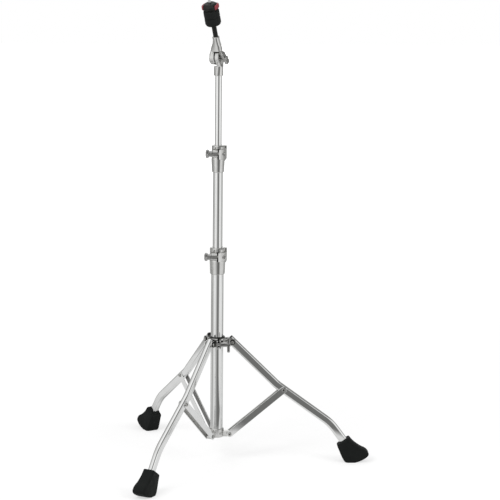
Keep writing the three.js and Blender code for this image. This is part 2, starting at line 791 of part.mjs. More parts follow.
// Short pivot screw along +Y: its tip stops just short of the leg, its washer lies on the cheek
function pivotScrew() {
  const seat = cheekOutside + seatGap;
  const washer = seat + pivotWasherHeight;
  const head = washer + pivotHeadHeight;
  return solid(revolve([
    [0, legWidth / 2 + seatGap],
    [pinRadius, legWidth / 2 + seatGap],
    [pinRadius, seat],
    [pivotWasherRadius, seat],
    [pivotWasherRadius, washer],
    [pivotHeadRadius, washer],
    [pivotHeadRadius, head - collarEdge / 2],
    [pivotHeadRadius - collarEdge / 2, head],
    [0, head],
  ], smallSides).rotateX(-quarterTurn));
}

function addLegCollar(parent) {
  stand(parent, 'leg_collar', legCollar(), castMetal());
  stand(parent, 'leg_collar_bush', legCollarBush(), nylon());
  const earFace = legCollarSlotCentre + legCollarSlot / 2 + legCollarEarWall;
  const shankLength = 2 * legCollarEarWall + legCollarSlot + seatGap;
  const across = groupAt(parent, earFace + seatGap, -legCollarBoltOffset, legCollarTop - legCollarBoltDrop);
  const bolt = wingBolt(legCollarWing, shankLength);
  stand(across, 'leg_collar_wing_bolt', bolt, castMetal());
}

// Tripod: one lower pin, brace, rivet, leg, plug, foot and two pivot screws for each leg

function addLegs(parent) {
  for (const [side, angle] of Object.entries(legAngles)) {
    const plane = groupAt(parent, 0, 0, 0, angle);
    const pin = groupAt(plane, lowerPivotRadius, 0, lowerPivotHeight);
    stand(pin, `brace_pin_${side}`, rivet(), zincSteel());
    Object.entries({ a: 1, b: -1 }).forEach(([mark, across]) => {
      const strut = stand(pin, `brace_${side}_${mark}`, braceBar(across), chrome());
      strut.rotation.y = -bracePitch;
    });
    const joint = groupAt(plane, rivetRadius, 0, rivetHeight);
    stand(joint, `leg_rivet_${side}`, rivet(), zincSteel());
    stand(plane, `leg_${side}`, leg(), chrome());
    stand(plane, `leg_plug_${side}`, legPlug(), nylon());
    stand(plane, `foot_${side}`, foot(), rubber());
    const hinge = groupAt(plane, legPivotRadius, 0, legPivotHeight);
    stand(hinge, `leg_pivot_screw_${side}_a`, pivotScrew(), zincSteel());
    const opposite = stand(hinge, `leg_pivot_screw_${side}_b`, pivotScrew(), zincSteel());
    opposite.rotation.x = 2 * quarterTurn;
  }
}

// Tilter, in a frame whose origin is the pivot and whose +X is the pivot axis

const holderDrop = 19;
const holderLength = 22;
const holderRadius = 10.8;
const holderBore = 19;
const holderBottom = tilterPivotHeight - holderDrop - holderLength;
const baseDiscRadius = 16.5;
const baseDiscLeft = -2.6;
const baseDiscRight = 7.5;
const washerHeight = 0.9;
const washerRadius = 13;
const headDiscRadius = 17;
const headDiscLeft = -16.8;
const headRise = 18.2;
const headTop = 52;
const neckRadius = 7.9;
const neckWaist = 7.5;
const neckWaistRise = 44;
const neckOffset = 2;
const rodRadius = 3;
const rodSocket = 22;
const rodTop = 143;
const discEdge = 1.2;
const castSides = 24;
const webShare = 0.8;
const blockShare = 0.55;
const skirtFlare = 1.4;
const skirtMiddle = 35;
const holderShoulderDrop = 19.8;
const webDrop = 17.8;
const tilterBoltHead = 5.2;
const tilterBoltHeadHeight = 2.4;
const tilterWing = { hubRadius: 6.2, hubLength: 14, start: 4.4, reach: 19.4, lobeRadius: 7.4 };
const tilterWingTurn = 48 * degree;
const headDiscRight = baseDiscLeft - washerHeight - 2 * seatGap;

// Round disc along the pivot axis with its rims chamfered
function disc(left, right, radius, hole) {
  return alongX(revolve([
    [hole, left],
    [radius - discEdge, left],
    [radius, left + discEdge],
    [radius, right - discEdge],
    [radius - discEdge, right],
    [hole, right],
  ]));
}

// An upright ring of a casting: half widths along X and Y, corner softness as a share
function castRing(height, left, right, halfDepth, softShare) {
  const ring = [];
  const middle = (left + right) / 2;
  const reach = (right - left) / 2;
  for (let k = 0; k < castSides; k += 1) {
    const angle = (4 * quarterTurn * k) / castSides;
    const power = (value) => Math.sign(value) * Math.abs(value) ** softShare;
    ring.push(new THREE.Vector3(
      middle + reach * power(Math.cos(angle)),
      halfDepth * power(Math.sin(angle)),
      height,
    ));
  }
  return ring;
}

// Holder on the top tube, which grows up into the fixed disc
function tilterBase() {
  const bottom = -holderDrop - holderLength;
  const discFaces = [baseDiscLeft + discEdge, baseDiscRight - discEdge];
  const body = loft([
    castRing(bottom, discEdge - holderRadius, holderRadius - discEdge, holderRadius - discEdge, 1),
    castRing(bottom + discEdge, -holderRadius, holderRadius, holderRadius, 1),
    castRing(-holderShoulderDrop, -holderRadius, holderRadius, holderRadius, 1),
    castRing(-webDrop, baseDiscLeft + discEdge, baseDiscRight + discEdge, holderRadius + discEdge, webShare),
    castRing(-holderDrop / 2, ...discFaces, headDiscRadius - 2 * discEdge, blockShare),
    castRing(0, ...discFaces, baseDiscRadius - discEdge / 2, blockShare),
  ]);
  const bore = rod(topTubeRadius + seatGap, bottom - overrun, bottom + holderBore + seatGap, tubeSides);
  const hole = alongX(rod(boltRadius + seatGap, -baseDiscRadius, baseDiscRadius));
  return cut(
    join(solid(body), solid(disc(baseDiscLeft, baseDiscRight, baseDiscRadius, 0))),
    solid(bore),
    solid(hole),
  );
}

function tilterWasher() {
  return solid(alongX(pipe(washerRadius, boltRadius + seatGap,
    baseDiscLeft - seatGap - washerHeight, baseDiscLeft - seatGap)));
}

// Head: a round neck for the rod that spreads down to the left into the turning disc
function tilterHead() {
  const middle = neckOffset;
  const skirtRight = middle + neckRadius + skirtFlare;
  const body = loft([
    castRing(headTop, middle - neckRadius + discEdge, middle + neckRadius - discEdge, neckRadius - discEdge, 1),
    castRing(headTop - discEdge, middle - neckRadius, middle + neckRadius, neckRadius, 1),
    castRing(neckWaistRise, middle - neckWaist, middle + neckWaist, neckWaist, 1),
    castRing(skirtMiddle, -neckRadius, middle + neckRadius, neckRadius, webShare),
    castRing(skirtMiddle - neckRadius, headDiscLeft + neckWaist / 2, skirtRight, neckRadius, webShare),
    castRing(headRise, headDiscLeft + discEdge, skirtRight, neckRadius + discEdge, blockShare),
  ]);
  const discFaces = [headDiscLeft + discEdge, headDiscRight - discEdge];
  const cheek = loft([
    castRing(headRise + discEdge, ...discFaces, neckRadius - discEdge, blockShare),
    castRing(headRise / 2, ...discFaces, headDiscRadius - 2 * discEdge, blockShare),
    castRing(0, ...discFaces, headDiscRadius - discEdge / 2, blockShare),
  ]);
  const bore = rod(rodRadius + seatGap, rodSocket, headTop + overrun).translate(middle, 0, 0);
  const hole = alongX(rod(boltRadius + seatGap, headDiscLeft - overrun, headRise));
  const pocket = alongX(rod(tilterBoltHead + seatGap, headDiscLeft - overrun,
    headDiscLeft + tilterBoltHeadHeight));
  return cut(
    join(solid(body), solid(cheek), solid(disc(headDiscLeft, headDiscRight, headDiscRadius, 0))),
    solid(bore),
    solid(hole),
    solid(pocket),
  );
}

// Hexagon-headed bolt through both discs, its head let into the turning one
function tilterBolt() {
  const headEnd = headDiscLeft + tilterBoltHeadHeight - seatGap;
  const head = rod(tilterBoltHead, headDiscLeft - seatGap, headEnd, hexSides);
  const shank = rod(boltRadius, headDiscLeft, baseDiscRight + tilterWing.hubLength);
  return join(solid(alongX(head)), solid(alongX(shank)));
}

function cymbalRod() {
  return solid(revolve([
    [0, rodSocket + seatGap],
    [rodRadius, rodSocket + seatGap],
    [rodRadius, rodTop - collarEdge / 2],
    [rodRadius - collarEdge / 2, rodTop],
    [0, rodTop],
  ], smallSides));
}

// Cymbal seat: sleeve, felts and quick-release nut, in the rod's frame

const sleeveRadius = 5.4;
const sleeveWall = 2.1;
const seatRise = 81;
const seatRadius = 16.2;
const seatHeight = 2.6;
const feltRadius = 17.8;
const feltHeight = 15.6;
const feltEdge = 1.2;
const nutHeight = 16.4;
const nutNeckRadius = 14.4;
const nutNeckHeight = 2.6;
const nutWaistHeight = 6;
const nutRadius = 17.9;
const nutShoulderHeight = 11.6;
const nutTopRadius = 11.5;
const nutBore = 3.6;
const buttonReach = 19.5;
const buttonInside = 13.6;
const buttonTravel = 2.6;
const buttonWidth = 23;
const buttonBottom = 3.4;
const buttonTop = 13.4;
const buttonEdge = 1;
const buttonTurn = 12 * degree;

const lowerFeltRise = seatRise + seatHeight + seatGap;
const upperFeltRise = lowerFeltRise + feltHeight + seatGap;
const nutRise = upperFeltRise + feltHeight + seatGap;
const sleeveTop = nutRise - seatGap;

// Plastic sleeve with the round seat that carries the felts
function cymbalSleeve() {
  const bottom = headTop + seatGap;
  return solid(revolve([
    [sleeveRadius - sleeveWall, bottom],
    [sleeveRadius, bottom],
    [sleeveRadius, seatRise],
    [seatRadius - feltEdge, seatRise],
    [seatRadius, seatRise + feltEdge],
    [seatRadius, seatRise + seatHeight],
    [sleeveRadius, seatRise + seatHeight],
    [sleeveRadius, sleeveTop],
    [sleeveRadius - sleeveWall, sleeveTop],
  ]));
}

function feltDisc(rise) {
  return solid(revolve([
    [sleeveRadius + seatGap, rise],
    [feltRadius - feltEdge, rise],
    [feltRadius, rise + feltEdge],
    [feltRadius, rise + feltHeight - feltEdge],
    [feltRadius - feltEdge, rise + feltHeight],
    [sleeveRadius + seatGap, rise + feltHeight],
  ]));
}

// Profile of the nut's casing, grown outwards by a margin
function nutProfile(margin) {
  return [
    [0, 0],
    [nutNeckRadius + margin, 0],
    [nutNeckRadius + margin, nutNeckHeight],
    [nutRadius + margin, nutWaistHeight],
    [nutRadius + margin, nutShoulderHeight],
    [nutTopRadius + margin, nutHeight],
    [0, nutHeight],
  ];
}

function buttonBlock(from, to, margin) {
  const half = buttonWidth / 2 + margin;
  return solid(box([from, -half, buttonBottom - margin], [to, half, buttonTop + margin]));
}

function quickNut() {
  const pocket = () => buttonBlock(buttonInside - buttonTravel - seatGap, buttonReach + overrun, seatGap);
  const turned = (manifold) => solid(geometryOf(manifold).rotateZ(2 * quarterTurn));
  return cut(
    solid(revolve(nutProfile(0))),
    solid(rod(nutBore, -overrun, nutHeight + overrun)),
    pocket(),
    turned(pocket()),
  );
}

// Push button whose outer face follows the casing a little way out from it
function nutButton() {
  const margin = buttonReach - nutRadius;
  const shape = roundedRectangle(-buttonWidth / 2, buttonWidth / 2, buttonBottom, buttonTop, 2 * buttonEdge);
  const pad = plateYZ(shape, buttonReach - buttonInside).translate((buttonReach + buttonInside) / 2, 0, 0);
  return solid(pad).intersect(solid(revolve(nutProfile(margin))));
}

function addTilter(parent) {
  const pivot = groupAt(parent, 0, 0, tilterPivotHeight, tilterTurn);
  stand(pivot, 'tilter_base', tilterBase(), castMetal());
  stand(pivot, 'tilter_washer', tilterWasher(), nylon());
  stand(pivot, 'tilter_bolt', tilterBolt(), zincSteel());
  const wing = groupAt(pivot, baseDiscRight + seatGap, 0, 0);
  const nut = stand(wing, 'tilter_wing_nut', wingNut(tilterWing), castMetal());
  nut.rotation.x = tilterWingTurn;
  const head = groupAt(pivot, 0, 0, 0);
  head.rotation.x = rodLean;
  stand(head, 'tilter_head', tilterHead(), castMetal());
  const axis = groupAt(head, neckOffset, 0, 0);
  stand(axis, 'cymbal_rod', cymbalRod(), chrome());
  stand(axis, 'cymbal_sleeve', cymbalSleeve(), nylon());
  stand(axis, 'lower_felt', feltDisc(lowerFeltRise), felt());
  stand(axis, 'upper_felt', feltDisc(upperFeltRise), felt());
  const nutFrame = groupAt(axis, 0, 0, nutRise, buttonTurn);
  stand(nutFrame, 'quick_nut', quickNut(), nylon());
  stand(nutFrame, 'nut_button_right', nutButton(), redPlastic());
  const left = stand(nutFrame, 'nut_button_left', nutButton(), redPlastic());
  left.rotation.z = 2 * quarterTurn;
}

// The whole stand

const column = new THREE.Group();
addTubes(column);
addClamp(column, baseClamp, baseClampTop);
addClamp(column, upperClamp, upperClampTop);
stand(column, 'lower_collar', lowerCollar(), castMetal());
stand(column, 'lower_collar_screw', lowerCollarScrew(), zincSteel());
addLegCollar(column);
addLegs(column);
addTilter(column);

// The origin is on the floor under the middle of the stand's bounding box
const cymbalStand = new THREE.Group();
cymbalStand.add(column);
cymbalStand.updateMatrixWorld(true);
const bounds = new THREE.Box3().setFromObject(column, true);
const centre = bounds.getCenter(new THREE.Vector3());
column.position.set(-centre.x, -centre.y, -bounds.min.z);

export default cymbalStand;
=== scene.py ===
# %% [markdown]
# # A straight cymbal stand
# The stand is three chromed tubes on a folding, double-braced tripod, with a tilter, felts and a
# quick-release nut on top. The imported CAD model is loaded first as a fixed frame. It says where
# every piece sits and what it moves with, so each finer piece made here is built in place.

# %% Load the frame
import json
import math

import bmesh
import bpy
from mathutils import Matrix, Vector


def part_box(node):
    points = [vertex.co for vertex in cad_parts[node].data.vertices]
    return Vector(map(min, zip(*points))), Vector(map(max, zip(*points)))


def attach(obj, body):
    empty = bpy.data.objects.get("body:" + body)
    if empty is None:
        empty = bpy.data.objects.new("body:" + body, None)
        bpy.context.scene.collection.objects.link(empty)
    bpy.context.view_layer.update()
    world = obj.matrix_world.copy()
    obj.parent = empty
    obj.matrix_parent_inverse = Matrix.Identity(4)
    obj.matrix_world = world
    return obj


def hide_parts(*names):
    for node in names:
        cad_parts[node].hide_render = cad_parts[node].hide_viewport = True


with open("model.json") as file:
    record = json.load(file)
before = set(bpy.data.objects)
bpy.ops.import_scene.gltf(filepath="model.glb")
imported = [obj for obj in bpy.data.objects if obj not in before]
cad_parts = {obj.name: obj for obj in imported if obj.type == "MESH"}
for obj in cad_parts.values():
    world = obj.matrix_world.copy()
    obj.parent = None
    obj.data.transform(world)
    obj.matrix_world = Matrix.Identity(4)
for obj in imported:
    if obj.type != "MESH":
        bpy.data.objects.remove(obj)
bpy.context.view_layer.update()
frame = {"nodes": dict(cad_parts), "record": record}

MM = 0.001
nodes = frame["nodes"]
record = frame["record"]
node_slot = {part["node"]: part["material_slot"] for part in record["subparts"]}
body_of_node = {
    node: body for body, members in record["behaviour"]["bodies"].items() for node in members
}
low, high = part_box("base_tube")
AXIS_X = (low[0] + high[0]) / 2
print("nodes", len(nodes), "column axis at x", round(AXIS_X, 4))

# %% [markdown]
# ## Finishes
# Nearly all of the real stand is chrome plate. Over drawn steel it is an even mirror, over
# castings a cloudier one. Nylon, rubber, felt and two red buttons are the rest. A finish could be
# a picture wrapped round each piece, but that needs a UV map and shows where it repeats. Every
# finish here is a small tree of procedural nodes on Object coordinates instead, so that its grain
# has the same size on every piece. What makes a mirror look real is its faults: faint smudges
# that dull it, and a slight waviness of the polished steel under the plating.

# %% Helpers for material trees
NOISE_SPAN = (0.3, 0.7)  # where most values of a noise lie


def new_finish(name, colour, metallic, roughness):
    finish = bpy.data.materials.new(name)
    finish.use_nodes = True
    shader = finish.node_tree.nodes["Principled BSDF"]
    shader.inputs["Base Color"].default_value = (*colour, 1)
    shader.inputs["Metallic"].default_value = metallic
    shader.inputs["Roughness"].default_value = roughness
    return finish, finish.node_tree, shader


def add_noise(tree, scale, detail, stretch=(1, 1, 1)):
    place = tree.nodes.new("ShaderNodeTexCoord")
    turn = tree.nodes.new("ShaderNodeMapping")
    turn.inputs["Scale"].default_value = stretch
    noise = tree.nodes.new("ShaderNodeTexNoise")
    noise.inputs["Scale"].default_value = scale
    noise.inputs["Detail"].default_value = detail
    tree.links.new(place.outputs["Object"], turn.inputs["Vector"])
    tree.links.new(turn.outputs["Vector"], noise.inputs["Vector"])
    return noise.outputs["Fac"]


def add_range(tree, value, span, result):
    """Maps a span of values onto a span of results."""
    node = tree.nodes.new("ShaderNodeMapRange")
    node.inputs["From Min"].default_value, node.inputs["From Max"].default_value = span
    node.inputs["To Min"].default_value, node.inputs["To Max"].default_value = result
    tree.links.new(value, node.inputs["Value"])
    return node.outputs["Result"]


def rough_by(tree, shader, pattern, span, roughness):
    """A pattern sets the roughness."""
    tree.links.new(add_range(tree, pattern, span, roughness), shader.inputs["Roughness"])


def colour_by(tree, shader, pattern, first, second):
    """A pattern mixes two colours."""
    mix = tree.nodes.new("ShaderNodeMix")
    mix.data_type = "RGBA"
    mix.inputs["A"].default_value = (*first, 1)
    mix.inputs["B"].default_value = (*second, 1)
    tree.links.new(pattern, mix.inputs["Factor"])
    tree.links.new(mix.outputs["Result"], shader.inputs["Base Color"])


def add_bump(tree, shader, height, strength, distance):
    bump = tree.nodes.new("ShaderNodeBump")
    bump.inputs["Strength"].default_value = strength
    bump.inputs["Distance"].default_value = distance
    tree.links.new(height, bump.inputs["Height"])
    tree.links.new(bump.outputs["Normal"], shader.inputs["Normal"])


def warm_grey(value, blue=0.98):
    """A grey with slightly less blue than red and green, as chrome looks beside white."""
    return (value, value, value * blue)


# %% Chrome, cast chrome and zinc
def polished_chrome():
    finish, tree, shader = new_finish("polished_chrome", (0.88, 0.885, 0.88), 1, 0.08)
    smudges = add_noise(tree, 38, detail=5)
    rough_by(tree, shader, smudges, (0.42, 0.75), (0.06, 0.16))
    colour_by(tree, shader, smudges, (0.9, 0.905, 0.9), (0.83, 0.835, 0.825))
    add_bump(tree, shader, add_noise(tree, 60, detail=1), strength=0.05, distance=0.0006)
    return finish


def cast_chrome(name, pale, dark):
    finish, tree, shader = new_finish(name, (pale, pale, pale), 1, 0.16)
    clouds = add_noise(tree, 120, detail=4)
    rough_by(tree, shader, clouds, (0.35, 0.7), (0.06, 0.17))
    colour_by(tree, shader, clouds, warm_grey(pale), warm_grey(dark))
    add_bump(tree, shader, add_noise(tree, 420, detail=2), strength=0.07, distance=0.0004)
    return finish


def zinc_steel():
    finish, tree, shader = new_finish("zinc_steel", (0.6, 0.6, 0.58), 1, 0.32)
    turned = add_noise(tree, 900, detail=3, stretch=(1, 1, 0.12))
    rough_by(tree, shader, turned, NOISE_SPAN, (0.24, 0.42))
    colour_by(tree, shader, add_noise(tree, 160, detail=4), (0.66, 0.66, 0.64), (0.5, 0.5, 0.48))
    add_bump(tree, shader, turned, strength=0.15, distance=0.0002)
    return finish


# %% Dull steel between brace bars, partly painted shade, and a rivet hole's painted shade
def dull_steel_and_painted_shade(name, pale, dark):
    finish, tree, shader = new_finish(name, (pale, pale, pale), 0.45, 0.4)
    stains = add_noise(tree, 70, detail=5)
    rough_by(tree, shader, stains, NOISE_SPAN, (0.3, 0.5))
    colour_by(tree, shader, stains, warm_grey(pale, blue=0.97), warm_grey(dark, blue=0.96))
    add_bump(tree, shader, add_noise(tree, 500, detail=3), strength=0.1, distance=0.0003)
    return finish


# The near-black finish is painted shade: it darkens the hollow in a rivet's head.
def painted_rivet_hole_shade():
    finish, tree, shader = new_finish("painted_rivet_hole_shade", (0.03, 0.03, 0.028), 1, 0.6)
    stains = add_noise(tree, 800, detail=3)
    colour_by(tree, shader, stains, (0.035, 0.035, 0.033), (0.015, 0.015, 0.014))
    rough_by(tree, shader, stains, NOISE_SPAN, (0.5, 0.7))
    return finish


# %% Nylon, rubber, felt and red plastic
def black_nylon():
    finish, tree, shader = new_finish("black_nylon", (0.012, 0.013, 0.012), 0, 0.42)
    shader.inputs["Specular IOR Level"].default_value = 0.22
    rough_by(tree, shader, add_noise(tree, 140, detail=4), NOISE_SPAN, (0.34, 0.52))
    blotches = add_noise(tree, 210, detail=3)
    colour_by(tree, shader, blotches, (0.01, 0.011, 0.01), (0.022, 0.023, 0.021))
    add_bump(tree, shader, add_noise(tree, 1400, detail=2), strength=0.18, distance=0.0002)
    return finish


def black_rubber():
    finish, tree, shader = new_finish("black_rubber", (0.012, 0.014, 0.013), 0, 0.62)
    shader.inputs["Specular IOR Level"].default_value = 0.12
    dust = add_noise(tree, 90, detail=6)
    colour_by(tree, shader, dust, (0.006, 0.007, 0.0065), (0.017, 0.019, 0.018))
    rough_by(tree, shader, dust, NOISE_SPAN, (0.5, 0.75))
    add_bump(tree, shader, add_noise(tree, 1100, detail=3), strength=0.25, distance=0.0003)
    return finish


def black_felt():
    finish, tree, shader = new_finish("black_felt", (0.009, 0.01, 0.01), 0, 0.95)
    shader.inputs["Specular IOR Level"].default_value = 0.04
    shader.inputs["Sheen Weight"].default_value = 0.06
    shader.inputs["Sheen Roughness"].default_value = 0.6
    fibres = add_noise(tree, 1500, detail=6, stretch=(1, 1, 0.5))
    colour_by(tree, shader, fibres, (0.004, 0.005, 0.005), (0.03, 0.032, 0.031))
    add_bump(tree, shader, fibres, strength=0.7, distance=0.0008)
    return finish


def red_plastic():
    finish, tree, shader = new_finish("red_plastic", (0.3, 0.035, 0.05), 0, 0.35)
    clouds = add_noise(tree, 300, detail=3)
    colour_by(tree, shader, clouds, (0.34, 0.045, 0.06), (0.25, 0.03, 0.042))
    rough_by(tree, shader, clouds, NOISE_SPAN, (0.28, 0.42))
    add_bump(tree, shader, add_noise(tree, 900, detail=2), strength=0.1, distance=0.0002)
    return finish


# %% All finishes, and the first one on each CAD node
finishes = {
    "chrome": polished_chrome(),
    "castings": cast_chrome("cast_chrome", pale=0.76, dark=0.6),
    "wing_chrome": cast_chrome("wing_chrome", pale=0.56, dark=0.34),
    "zinc_steel": zinc_steel(),
    # Painted shade: the bars' dull steels (the paler one partly real thin plating) and the rivet
    # hole
    "dull_steel_and_painted_shade": dull_steel_and_painted_shade("dull_steel_and_painted_shade", pale=0.62, dark=0.48),
    "back_bars_painted_shade": dull_steel_and_painted_shade("back_bars_painted_shade", pale=0.28, dark=0.21),
    "painted_rivet_hole_shade": painted_rivet_hole_shade(),
    "black_nylon": black_nylon(),
    "black_rubber": black_rubber(),
    "black_felt": black_felt(),
    "red_plastic": red_plastic(),
}
for name, node in nodes.items():
    node.data.materials.clear()
    node.data.materials.append(finishes[node_slot[name]])
print("finishes", len(finishes))

# %% [markdown]
# ## How a piece is finished
# A piece that stands for CAD nodes takes their body and their finish. Shading is smooth, and an
# edge stays sharp only where two faces meet steeply. No real edge is sharp, so a small bevel
# rounds it and catches a thin line of light. Extra rows of faces could be modelled along each
# edge, but a Bevel modifier does the same for any mesh, with one number for its width.

# %% Helpers for finished pieces
SHARP = math.radians(32)
FLAT = math.radians(0.6)
MERGE = 1e-6
CAD_MERGE = 2e-6


def new_piece(name, mesh, *replaced, bevel=0.0, steps=3):
    piece = bpy.data.objects.new(name, mesh)
    bpy.context.scene.collection.objects.link(piece)
    mesh.materials.clear()
    mesh.materials.append(finishes[node_slot[replaced[0]]])
    mesh.shade_smooth()
    mesh.set_sharp_from_angle(angle=SHARP)
    if bevel:
        rounding = piece.modifiers.new("rounding", "BEVEL")
        rounding.width = bevel
        rounding.segments = steps
        rounding.limit_method = "ANGLE"
        rounding.angle_limit = SHARP
        rounding.harden_normals = True
    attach(piece, body_of_node[replaced[0]])
    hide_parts(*replaced)
    return piece


def even_shading(piece):
    """Large faces lead the shading, so that a long or flat face mirrors without a bend."""
    piece.modifiers.new("even_shading", "WEIGHTED_NORMAL").keep_sharp = True


def fill_mesh(mesh, shape):
    shape.to_mesh(mesh)
    shape.free()
    return mesh


def closed_mesh(name, shape):
    """A mesh of the shape with its doubles merged and every face pointing outwards."""
    bmesh.ops.remove_doubles(shape, verts=shape.verts, dist=MERGE)
    bmesh.ops.recalc_face_normals(shape, faces=shape.faces)
    return fill_mesh(bpy.data.meshes.new(name), shape)


def refine(node, bevel, steps):
    """A merged copy of a CAD node with its flat faces joined up and its edges rounded."""
    shape = bmesh.new()
    shape.from_mesh(nodes[node].data)
    bmesh.ops.remove_doubles(shape, verts=shape.verts, dist=CAD_MERGE)
    bmesh.ops.dissolve_limit(shape, angle_limit=FLAT, verts=shape.verts, edges=shape.edges)
    name = node + "_finished"
    mesh = fill_mesh(bpy.data.meshes.new(name), shape)
    return new_piece(name, mesh, node, bevel=bevel, steps=steps)


# %% [markdown]
# ## Tubes
# Each column tube is drawn steel with a wall of 1.2 mm, open at both ends. Two cylinders and a
# cut would make one, but a small Geometry Nodes tree that turns a rounded wall profile round the
# axis makes all three from named sizes, with their ends already rounded. Light runs along a
# polished tube in straight lines, which takes even shading as well: the rounded ends would
# otherwise pull the reflections on the whole length towards them.

# %% Helpers for Geometry Nodes
def socket_id(tree, label):
    for item in tree.interface.items_tree:
        if item.item_type == "SOCKET" and item.in_out == "INPUT" and item.name == label:
            return item.identifier
    raise KeyError(label)


def add_inputs(tree, labels):
    tree.interface.new_socket("Geometry", in_out="INPUT", socket_type="NodeSocketGeometry")
    for label in labels:
        tree.interface.new_socket(label, in_out="INPUT", socket_type="NodeSocketFloat")
    tree.interface.new_socket("Geometry", in_out="OUTPUT", socket_type="NodeSocketGeometry")


def add_math(tree, operation, first, second):
    node = tree.nodes.new("ShaderNodeMath")
    node.operation = operation
    for socket, value in zip(node.inputs, (first, second)):
        if isinstance(value, (int, float)):
            socket.default_value = value
        else:
            tree.links.new(value, socket)
    return node.outputs[0]


def finish_tree(tree, geometry, material):
    realize = tree.nodes.new("GeometryNodeRealizeInstances")
    paint = tree.nodes.new("GeometryNodeSetMaterial")
    paint.inputs["Material"].default_value = material
    leave = tree.nodes.new("NodeGroupOutput")
    tree.links.new(geometry, realize.inputs[0])
    tree.links.new(realize.outputs[0], paint.inputs["Geometry"])
    tree.links.new(paint.outputs[0], leave.inputs[0])


def grow(name, tree, sizes):
    """Evaluates a tree with these sizes and returns the result as a plain mesh."""
    carrier = bpy.data.objects.new(name + "_carrier", bpy.data.meshes.new(name + "_seed"))
    bpy.context.scene.collection.objects.link(carrier)
    modifier = carrier.modifiers.new("grow", "NODES")
    modifier.node_group = tree
    for label, value in sizes.items():
        modifier[socket_id(tree, label)] = value
    graph = bpy.context.evaluated_depsgraph_get()
    result = bpy.data.meshes.new_from_object(carrier.evaluated_get(graph), depsgraph=graph)
    bpy.data.objects.remove(carrier)
    result.name = name
    return result


# %% A tree that turns a tube
TUBE_SIDES = 96
END_STEPS = 3


def tube_tree():
    tree = bpy.data.node_groups.new("drawn_tube", "GeometryNodeTree")
    add_inputs(tree, ["Outer Radius", "Wall", "Length", "Edge"])
    enter = tree.nodes.new("NodeGroupInput").outputs
    half_wall = add_math(tree, "MULTIPLY", enter["Wall"], 0.5)
    middle_radius = add_math(tree, "SUBTRACT", enter["Outer Radius"], half_wall)
    path = tree.nodes.new("GeometryNodeCurvePrimitiveCircle")
    path.inputs["Resolution"].default_value = TUBE_SIDES
    tree.links.new(middle_radius, path.inputs["Radius"])
    wall = tree.nodes.new("GeometryNodeCurvePrimitiveQuadrilateral")
    tree.links.new(enter["Wall"], wall.inputs["Width"])
    tree.links.new(enter["Length"], wall.inputs["Height"])
    rounded = tree.nodes.new("GeometryNodeFilletCurve")
    rounded.mode = "POLY"
    rounded.inputs["Count"].default_value = END_STEPS
    tree.links.new(wall.outputs["Curve"], rounded.inputs["Curve"])
    tree.links.new(enter["Edge"], rounded.inputs["Radius"])
    sweep = tree.nodes.new("GeometryNodeCurveToMesh")
    tree.links.new(path.outputs["Curve"], sweep.inputs["Curve"])
    tree.links.new(rounded.outputs["Curve"], sweep.inputs["Profile Curve"])
    finish_tree(tree, sweep.outputs["Mesh"], finishes["chrome"])
    return tree


# %% The three column tubes
tube_radii = {"base_tube": 14.3, "middle_tube": 11.1, "top_tube": 7.95}
TUBE_WALL = 1.2
TUBE_END = 0.4
drawn_tube = tube_tree()


def outward(mesh):
    shape = bmesh.new()
    shape.from_mesh(mesh)
    bmesh.ops.remove_doubles(shape, verts=shape.verts, dist=MERGE)
    bmesh.ops.recalc_face_normals(shape, faces=shape.faces)
    fill_mesh(mesh, shape)


for name, radius in tube_radii.items():
    bottom, top = (corner[2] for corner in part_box(name))
    sizes = {"Outer Radius": radius * MM, "Wall": TUBE_WALL * MM, "Length": top - bottom,
             "Edge": TUBE_END * MM}
    mesh = grow(name + "_drawn", drawn_tube, sizes)
    tall = max(v.co.z for v in mesh.vertices) - min(v.co.z for v in mesh.vertices)
    mesh.transform(Matrix.Translation((AXIS_X, 0, (bottom + top) / 2)))
    outward(mesh)
    even_shading(new_piece(name + "_drawn", mesh, name))
    print(name, "length", round(tall, 4), "wanted", round(top - bottom, 4))

# %% [markdown]
# ## Castings and small hardware
# Clamps, locks, collars, braces and screws were drawn fully in the CAD model, so they keep that
# shape. They could be modelled again here, but a merged copy of each with rounded edges is what
# makes a casting or a pressing catch the light, and it can't drift from the CAD.
#
# Some of them show two finishes. The sides of two brace bars that face each other are a dull grey:
# partly the thinner plating there, partly painted shade between the bars. The back pair's darker
# grey is painted shade alone. The washer under a pivot screw is nylon, and the hole in the end of
# a tubular rivet is painted shade, a near-black finish. Each of these is a second finish on some
# faces of the one piece, chosen by where the faces lie. The wing nuts are a darker chrome all over.

# %% Second finishes on some faces of a piece
leg_turns = {"right": 0, "back": 120, "front": 240}
# Millimetres from the middle plane of a leg, then from the axis of a rivet
WASHER_FROM, WASHER_TO = 9.7, 10.85
BAR_INSIDE = 6.9
RIVET_HOLE = 1.7


def second_finish(piece, finish, wanted):
    """Gives every face for which wanted(face) holds another finish."""
    piece.data.materials.append(finishes[finish])
    for face in piece.data.polygons:
        if wanted(face):
            face.material_index = 1


def across_leg(side):
    """The direction square to a leg's middle plane."""
    turn = math.radians(leg_turns[side])
    return Vector((-math.sin(turn), math.cos(turn), 0))


def width_from_leg(side):
    """A function that gives how far the middle of a face lies from a leg's middle plane."""
    across = across_leg(side) / MM
    return lambda face: abs((face.center - Vector((AXIS_X, 0, 0))).dot(across))


def darken_washer(piece, side):
    """The washer under a pivot screw's head is nylon."""
    width = width_from_leg(side)
    second_finish(piece, "black_nylon", lambda face: WASHER_FROM < width(face) < WASHER_TO)


def dull_and_shade_inside(piece, side):
    """Facing sides of two bars: dull grey, partly painted shade; back pair darker, all painted
    shade.
    """
    width = width_from_leg(side)
    finish = "back_bars_painted_shade" if side == "back" else "dull_steel_and_painted_shade"
    second_finish(piece, finish, lambda face: width(face) < BAR_INSIDE)


